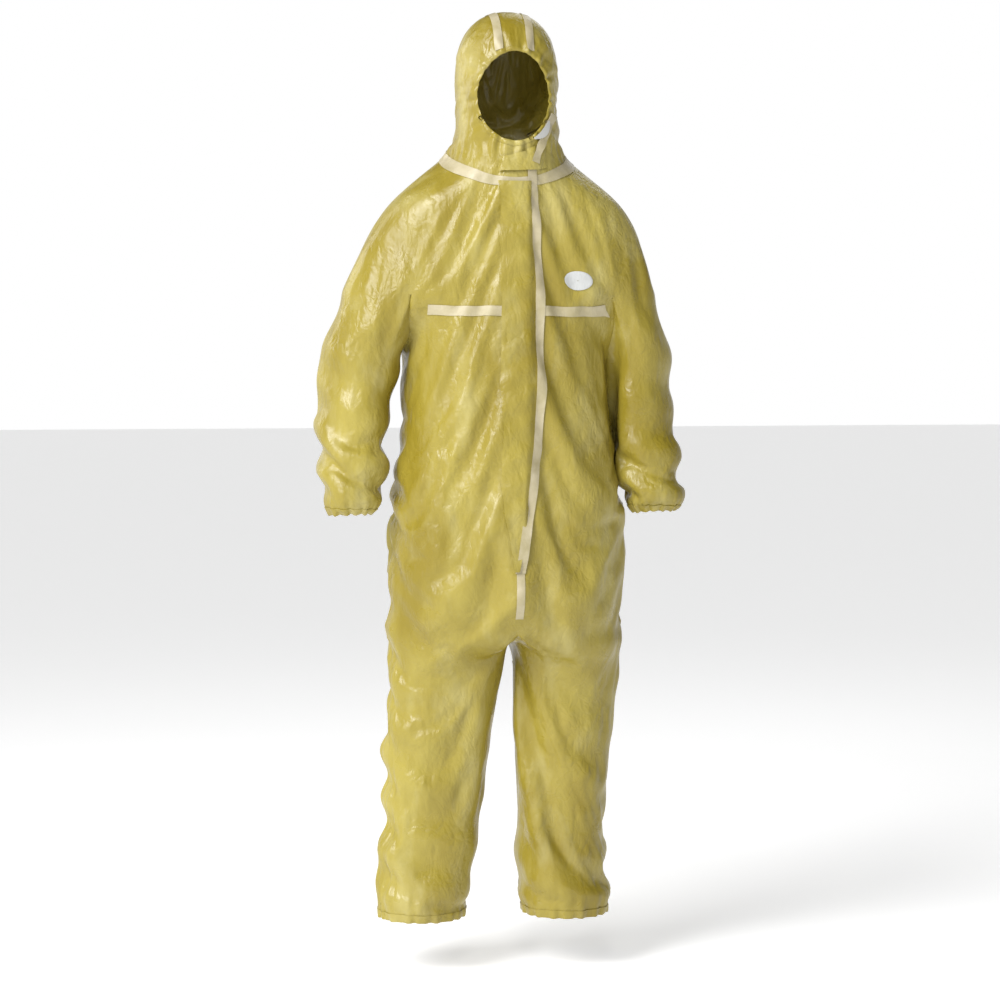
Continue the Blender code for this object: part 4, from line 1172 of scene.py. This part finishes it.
class SUIT_OT_tapes(bpy.types.Operator):
    """Lays the heat-sealed tapes over the suit's seams"""

    bl_idname = "suit.tapes"
    bl_label = "Seam tapes"

    def execute(self, context):
        width = sizes().tape_width
        for name, side in SIDES.items():
            ends = (0.012, 0.192) if side > 0 else (0.004, 0.176)
            xs = np.linspace(*ends, 46)
            rays = [[front_point(side * x, CHEST_SEAM - 0.008 + 0.080 * x + a) for a in across(width)]
                    for x in xs]
            lay_tape("tape_chest_" + name, rays, ["chest_tape_" + name], "suit_body")
            heights = np.linspace(0.640, 0.125, 100)
            rays = []
            for h in heights:
                x = side * leg_x(side, h)
                rays.append([ring_point(-side * 122 + side * math.degrees(a / 0.1), h, 0, (x, LEG_Y))
                             for a in across(width * 0.8)])
            low = [row for row, h in zip(rays, heights) if h <= LEG_SPLIT + 0.02]
            lay_tape("tape_inseam_" + name, low, ["inseam_tape_" + name], None,
                     ("thigh_" + name, "shin_" + name, *knee_ends(side)))
            rays = [[((side * HOOD_SEAM + a, 0, 1.70 - SHOULDER_HEIGHT), (0, -math.cos(t), math.sin(t)))
                     for a in across(width * 0.8)] for t in np.radians(np.linspace(37, 203, 110))]
            lay_tape("tape_hood_" + name, rays, ["hood_tape_" + name], None, NECK_BLEND)
        turns = np.linspace(0, 360, 181)[:-1]
        rays = [[ring_point(t, neck_line(t) + a, 0.30) for a in across(width * 0.9)] for t in turns]
        lay_tape("tape_neck", rays, ["neck_tape"], "suit_body", closed=True)
        heights = np.linspace(1.560, 0.786, 150)
        rays = [[front_point(sewn_edge(h) + a, h) for a in across(width)] for h in heights]
        over_zip = [float(over_slider(h)) for h in heights]
        lay_tape("tape_flap_seam", rays, ["flap_seam_tape"], "suit_body",
                 lift=lambda i, j: 0.0024 + 0.0060 * over_zip[i])
        xs = np.linspace(-0.188, 0.188, 80)
        rays = [[back_point(x, BACK_SEAM + a) for a in across(width)] for x in xs]
        lay_tape("tape_back_yoke", rays, ["back_yoke_tape"], "suit_body")
        rays = [[back_point(a, h) for a in across(width)] for h in np.linspace(1.276, 0.715, 100)]
        lay_tape("tape_back_centre", rays, ["back_centre_tape"], "suit_body")
        rays = [[front_point(a, h) for a in across(width * 0.8)] for h in np.linspace(0.792, 0.700, 20)]
        lay_tape("tape_crotch", rays, ["crotch_tape"], "suit_body")
        return {"FINISHED"}


def neck_line(turn):
    """The neck seam's height at the axis: it dips a little in front."""
    return NECK - 0.001 - 0.012 * max(0.0, math.cos(math.radians(turn))) ** 6


def over_slider(height):
    """1 where the flap and its tape pass over the slider at the zip's lower end, 0 elsewhere."""
    return smooth((height - 0.79) / 0.03) * (1 - smooth((height - 0.86) / 0.04))


def flap_fold(height):
    """Where the storm flap folds open, from the centre."""
    return 0.014 + 0.016 * (height - ZIP_LOW) / (ZIP_HIGH - ZIP_LOW)


class SUIT_OT_storm_flap(bpy.types.Operator):
    """Lays the storm flap over the zip, free along one edge and sewn along the other"""

    bl_idname = "suit.storm_flap"
    bl_label = "Storm flap"

    def execute(self, context):
        heights = np.linspace(FLAP_BODY_HIGH, FLAP_BODY_LOW, FLAP_ROWS)
        rays, lifts = [], []
        for h in heights:
            free = FLAP_FREE + 0.0012 * math.sin(31 * h) + 0.0006 * math.sin(97 * h)
            free += 0.018 * (1 - float(smooth((h - FLAP_BODY_LOW) / 0.13)))
            sewn = sewn_edge(h) - 0.002
            xs = np.linspace(free, sewn, FLAP_COLUMNS)
            rays.append([front_point(x, h) for x in xs])
            row = []
            level = over_slider(h)
            for x in xs:
                step = max(sewn - flap_fold(h) + 0.002, 0.006)
                down = (1 - 0.9 * level) * smooth((x - flap_fold(h) + 0.006) / step)
                ripple = 0.0018 * math.sin(46 * h + 40 * x) * math.sin(19 * h)
                ripple += 0.0012 * math.sin(120 * h - 60 * x)
                edge = smooth((free + 0.012 - x) / 0.012)
                row.append(FLAP_STAND + 0.0014 + ripple * (1 - 0.5 * edge) * (1 - down) + 0.0010 * edge
                           - (FLAP_STAND + 0.0004) * down)
            lifts.append(row)
        obj = band("film_storm_flap", rays, lambda i, j: lifts[i][j], 0.0008)
        finish(obj, "laminate")
        low, high = np.array((-0.004, ZIP_LOW)), np.array((0.030, ZIP_HIGH))
        middle, run = (low + high) / 2, high - low
        away = np.array((-run[1], run[0])) / np.linalg.norm(run)
        start, end = middle - away * 0.003, middle + away * 0.005
        y = FRONT_LEAN * middle[1] - FRONT_DEPTH
        world(start[0], y, start[1])
        world(end[0], y, end[1])
        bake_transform(obj)
        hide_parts("storm_flap")
        return {"FINISHED"}


class SUIT_OT_adhesives(bpy.types.Operator):
    """Makes the adhesive strips under the storm flap and the chin flap"""

    bl_idname = "suit.adhesives"
    bl_label = "Adhesive strips"

    def execute(self, context):
        rays = [[front_point(x, h) for x in np.linspace(-0.027, -0.015, 4)]
                for h in np.linspace(1.500, 0.930, 120)]
        strip = band("strip_storm_flap", rays, FLAP_STAND - 0.0036, 0.0006)
        chin = [[ring_point(t, h, 0.29) for h in np.linspace(1.592, 1.604, 4)]
                for t in np.linspace(-15, -6, 8)]
        small = band("strip_chin_flap", chin, 0.0040, 0.0006)
        for obj, node, body in ((strip, "flap_adhesive", "storm_flap"),
                                (small, "chin_adhesive", "chin_flap")):
            finish(obj, "adhesive")
            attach(obj, body)
            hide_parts(node)
        return {"FINISHED"}


class SUIT_OT_chin_flap(bpy.types.Operator):
    """Makes the small flap that closes the hood under the chin"""

    bl_idname = "suit.chin_flap"
    bl_label = "Chin flap"

    def execute(self, context):
        rays, lifts = [], []
        for t in np.linspace(CHIN_FREE, CHIN_SEWN, 30):
            share = (t - CHIN_FREE) / (CHIN_SEWN - CHIN_FREE)
            low, high = 1.578 + 0.004 * share, 1.605 + 0.030 * share ** 1.5
            rays.append([ring_point(t, low + (high - low) * s, 0.25) for s in np.linspace(0, 1, 12)])
            lifts.append([0.0056 + 0.0008 * math.sin(9 * share + 3 * s) - 0.0040 * smooth((share - 0.7) / 0.3)
                          for s in np.linspace(0, 1, 12)])
        obj = band("film_chin_flap", rays, lambda i, j: lifts[i][j], 0.0009)
        finish(obj, "laminate")
        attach(obj, "chin_flap")
        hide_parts("chin_flap")
        rays = []
        for s in np.linspace(0, 1, 40):
            x, h = 0.036 + 0.038 * s ** 1.3, 1.566 + 0.092 * s
            rays.append([front_point(x + a, h - 0.4 * a) for a in across(0.014)])
        lay_tape("tape_chin_seam", rays, [], "chin_flap", lift=0.0080, rounds=8)
        rays = []
        for s in np.linspace(0, 1, 14):
            turn = math.radians(-62 + 34 * s)
            depth = 0.03 + 0.17 * math.sin(math.pi * s ** 0.8)
            rays.append([front_point(FACE_HALF_WIDTH * (1.03 + depth * g) * math.cos(turn),
                                     FACE_HEIGHT + FACE_HALF_HEIGHT * (1.03 + depth * g) * math.sin(turn))
                         for g in np.linspace(0, 1, 5)])
        corner = band("corner_chin_flap", rays, 0.0086, 0.0008, rounds=12)
        finish(corner, "adhesive")
        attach(corner, "chin_flap")
        return {"FINISHED"}


def past_edge(rays, reach):
    """Rows of places laid along rays, with one more that passes the cloth's free edge."""
    rows = []
    for row in rays:
        laid = [DRAPE["sheet"].cast(*ray) for ray in row]
        (first, normal), (second, _) = laid[:2]
        away = first - second
        extra = first + away / np.linalg.norm(away) * reach
        rows.append([(None, None, (extra - normal * 0.0008, normal))] + [(None, None, item) for item in laid])
    return rows


def gathered_ring(name, rays, node, body):
    """The gathered hem round the end of a limb."""
    obj = band(name, past_edge(rays, 0.0022), 0.0006, 0.0010, closed=True)
    finish(obj, "laminate")
    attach(obj, body)
    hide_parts(node)


class SUIT_OT_elastics(bpy.types.Operator):
    """Makes the elastic at the face, the cuffs, the hems and the back of the waist"""

    bl_idname = "suit.elastics"
    bl_label = "Elastics"

    def execute(self, context):
        turns = np.linspace(0, 2 * math.pi, 241)[:-1]
        rays = []
        for t in turns:
            row = []
            for grow in np.linspace(1.012, 1.10, 4):
                x = FACE_HALF_WIDTH * grow * math.cos(t)
                h = FACE_HEIGHT + FACE_HALF_HEIGHT * grow * math.sin(t)
                row.append(front_point(x, h))
            rays.append(row)
        rays = past_edge(rays, 0.0024)
        obj = band("hem_face", rays, lambda i, j: 0.0004 + 0.0010 * math.sin(j * math.pi / 4), 0.0008,
                   closed=True)
        finish(obj, "laminate")
        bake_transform(obj)
        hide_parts("face_elastic")
        for name, side in SIDES.items():
            far, near, y, _ = profile(CUFF, SLEEVE)
            centre = (side * (far + near) / 2 + arm_shift(side, CUFF), y)
            rays = [[ring_point(t, h, 0, centre) for h in np.linspace(CUFF + 0.0015, CUFF + 0.014, 4)]
                    for t in np.linspace(0, 360, 161)[:-1]]
            gathered_ring("hem_cuff_" + name, rays, "cuff_elastic_" + name, "forearm_" + name)
            centre = (side * ANKLE_X[side], LEG_Y)
            rays = [[ring_point(t, h, 0, centre) for h in np.linspace(HEM + 0.0015, HEM + 0.016, 4)]
                    for t in np.linspace(0, 360, 201)[:-1]]
            gathered_ring("hem_ankle_" + name, rays, "ankle_elastic_" + name, "shin_" + name)
        xs = np.linspace(-0.150, 0.150, 90)
        rays = [[back_point(x, 1.005 + a) for a in across(0.024)] for x in xs]
        obj = band("elastic_waist", rays, -0.0030, 0.0012)
        finish(obj, "elastic")
        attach(obj, "suit_body")
        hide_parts("waist_elastic")
        return {"FINISHED"}


class SUIT_OT_patch(bpy.types.Operator):
    """Makes the plain oval patch on the left breast"""

    bl_idname = "suit.patch"
    bl_label = "Breast patch"

    def execute(self, context):
        rays = []
        for t in np.linspace(0, 2 * math.pi, 65)[:-1]:
            rays.append([front_point(0.130 + 0.0285 * g * math.cos(t), 1.351 + 0.0180 * g * math.sin(t))
                         for g in (0.04, 0.35, 0.65, 0.88, 0.94, 1.0)])
        obj = band("patch_oval", rays, lambda i, j: 0.0014 if j in (3, 4) else 0.0010, 0.0007, closed=True)
        finish(obj, "label")
        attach(obj, "suit_body")
        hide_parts("chest_label")
        return {"FINISHED"}


def studio_walls():
    """A dim room whose walls are bright at the height of the eye."""
    walls = bpy.data.worlds.new("studio")
    walls.use_nodes = True
    tree = walls.node_tree
    place = tree.nodes.new("ShaderNodeTexCoord")
    parts = tree.nodes.new("ShaderNodeSeparateXYZ")
    tree.links.new(place.outputs["Generated"], parts.inputs[0])
    level = Value(tree, parts.outputs["Z"])
    band_of_light = tree.nodes.new("ShaderNodeMapRange")
    band_of_light.interpolation_type = "SMOOTHSTEP"
    tree.links.new((level - 0.02).combine("ABSOLUTE", 0.0).socket, band_of_light.inputs["Value"])
    for name, value in (("From Min", 0.12), ("From Max", 0.40), ("To Min", WALL_LIGHT),
                        ("To Max", ROOM_LIGHT)):
        band_of_light.inputs[name].default_value = value
    right = Value(tree, parts.outputs["X"])
    dimmer = (right - 0.42) * 1.6
    dimmer = dimmer.combine("MAXIMUM", 0.0).combine("MINIMUM", 0.55)
    strength = Value(tree, band_of_light.outputs[0]) * (1 - dimmer)
    tree.links.new(strength.socket, tree.nodes["Background"].inputs["Strength"])
    tree.nodes["Background"].inputs["Color"].default_value = (1.0, 1.0, 1.0, 1)
    return walls


WALL_LIGHT, ROOM_LIGHT = 1.0, 0.07


class SUIT_OT_stage(bpy.types.Operator):
    """Sets the floor, the lights and the camera"""

    bl_idname = "suit.stage"
    bl_label = "Stage"

    def execute(self, context):
        scene = context.scene
        turn, distance = math.radians(-9), 5.5
        right = Vector((math.cos(turn), math.sin(turn), 0))
        aim = Vector((0, 0, 0.916 - SHOULDER_HEIGHT)) - right * 0.012
        place = Vector((math.sin(turn) * distance, -math.cos(turn) * distance, -0.25)) - right * 0.012
        data = bpy.data.cameras.new("camera")
        data.sensor_width, data.lens = 36, 101.5
        camera = bpy.data.objects.new("camera", data)
        camera.location = place
        camera.rotation_euler = (aim - place).to_track_quat("-Z", "Y").to_euler()
        scene.collection.objects.link(camera)
        scene.camera = camera
        scene.view_settings.view_transform = "Standard"
        # place, size and power
        lamps = ((-2.6, -2.7, 1.6, 1.9, 105), (-0.6, -3.6, 2.6, 1.2, 34), (2.6, -2.2, 0.6, 1.6, 3),
                 (1.2, 2.6, 2.2, 2, 22), (-2.2, 1.6, 1.0, 1.6, 20))
        data = bpy.data.lights.new("sky_panel", "SUN")
        data.energy, data.angle = 1.6, math.radians(25)
        lamp = bpy.data.objects.new("sky_panel", data)
        lamp.rotation_euler = (Vector((0.80, 0.50, -0.85))).to_track_quat("-Z", "Y").to_euler()
        scene.collection.objects.link(lamp)
        for k, (x, y, z, size, power) in enumerate(lamps):
            data = bpy.data.lights.new(f"softbox_{k}", "AREA")
            data.energy, data.shape, data.size, data.size_y = power, "RECTANGLE", size * 0.7, size * 1.3
            lamp = bpy.data.objects.new(f"softbox_{k}", data)
            lamp.location = (x, y, z)
            aim = Vector((0, 0, -0.5)) - lamp.location
            lamp.rotation_euler = aim.to_track_quat("-Z", "Y").to_euler()
            scene.collection.objects.link(lamp)
        scene.world = studio_walls()
        corners = [(-30, -30), (30, -30), (30, 30), (-30, 30)]
        floor = new_object("floor", [(x, y, -SHOULDER_HEIGHT) for x, y in corners], [(0, 1, 2, 3)])
        pale = Finish("floor_paint", (0.86, 0.86, 0.86), 0.6)
        pale.set("Roughness", pale.fade(pale.noise(pale.place, 3.0), 0.3, 0.7, 0.55, 0.7))
        pale.shader.inputs["Emission Color"].default_value = (1.0, 1.0, 1.0, 1)
        pale.shader.inputs["Emission Strength"].default_value = 0.40
        floor.data.materials.append(pale.material)
        return {"FINISHED"}


class SUIT_PT_panel(bpy.types.Panel):
    """Lists the suit's pieces in the order they are made"""

    bl_idname = "SUIT_PT_panel"
    bl_label = "Protective suit"
    bl_space_type = "VIEW_3D"
    bl_region_type = "UI"
    bl_category = "Suit"

    def draw(self, context):
        for group in (context.scene.suit_sizes, context.scene.suit_colours):
            for name in group.__annotations__:
                self.layout.prop(group, name)
        for operator in OPERATORS:
            self.layout.operator(operator.bl_idname)


OPERATORS = (SUIT_OT_finishes, SUIT_OT_drape, SUIT_OT_trunk, SUIT_OT_limbs, SUIT_OT_hood, SUIT_OT_tapes,
             SUIT_OT_storm_flap, SUIT_OT_adhesives, SUIT_OT_chin_flap, SUIT_OT_elastics, SUIT_OT_patch,
             SUIT_OT_stage)
CLASSES = (SuitColours, SuitSizes, SUIT_PT_panel, *OPERATORS)


def register():
    """Makes the operators, the panel and their settings known."""
    for cls in CLASSES:
        bpy.utils.register_class(cls)
    bpy.types.Scene.suit_colours = bpy.props.PointerProperty(type=SuitColours)
    bpy.types.Scene.suit_sizes = bpy.props.PointerProperty(type=SuitSizes)


def unregister():
    """Takes the operators, the panel and their settings away."""
    del bpy.types.Scene.suit_sizes
    del bpy.types.Scene.suit_colours
    for cls in reversed(CLASSES):
        bpy.utils.unregister_class(cls)


def main():
    """Makes every piece in order."""
    register()
    for operator in OPERATORS:
        getattr(bpy.ops.suit, operator.bl_idname.split(".")[1])()


if __name__ == "__main__":
    main()
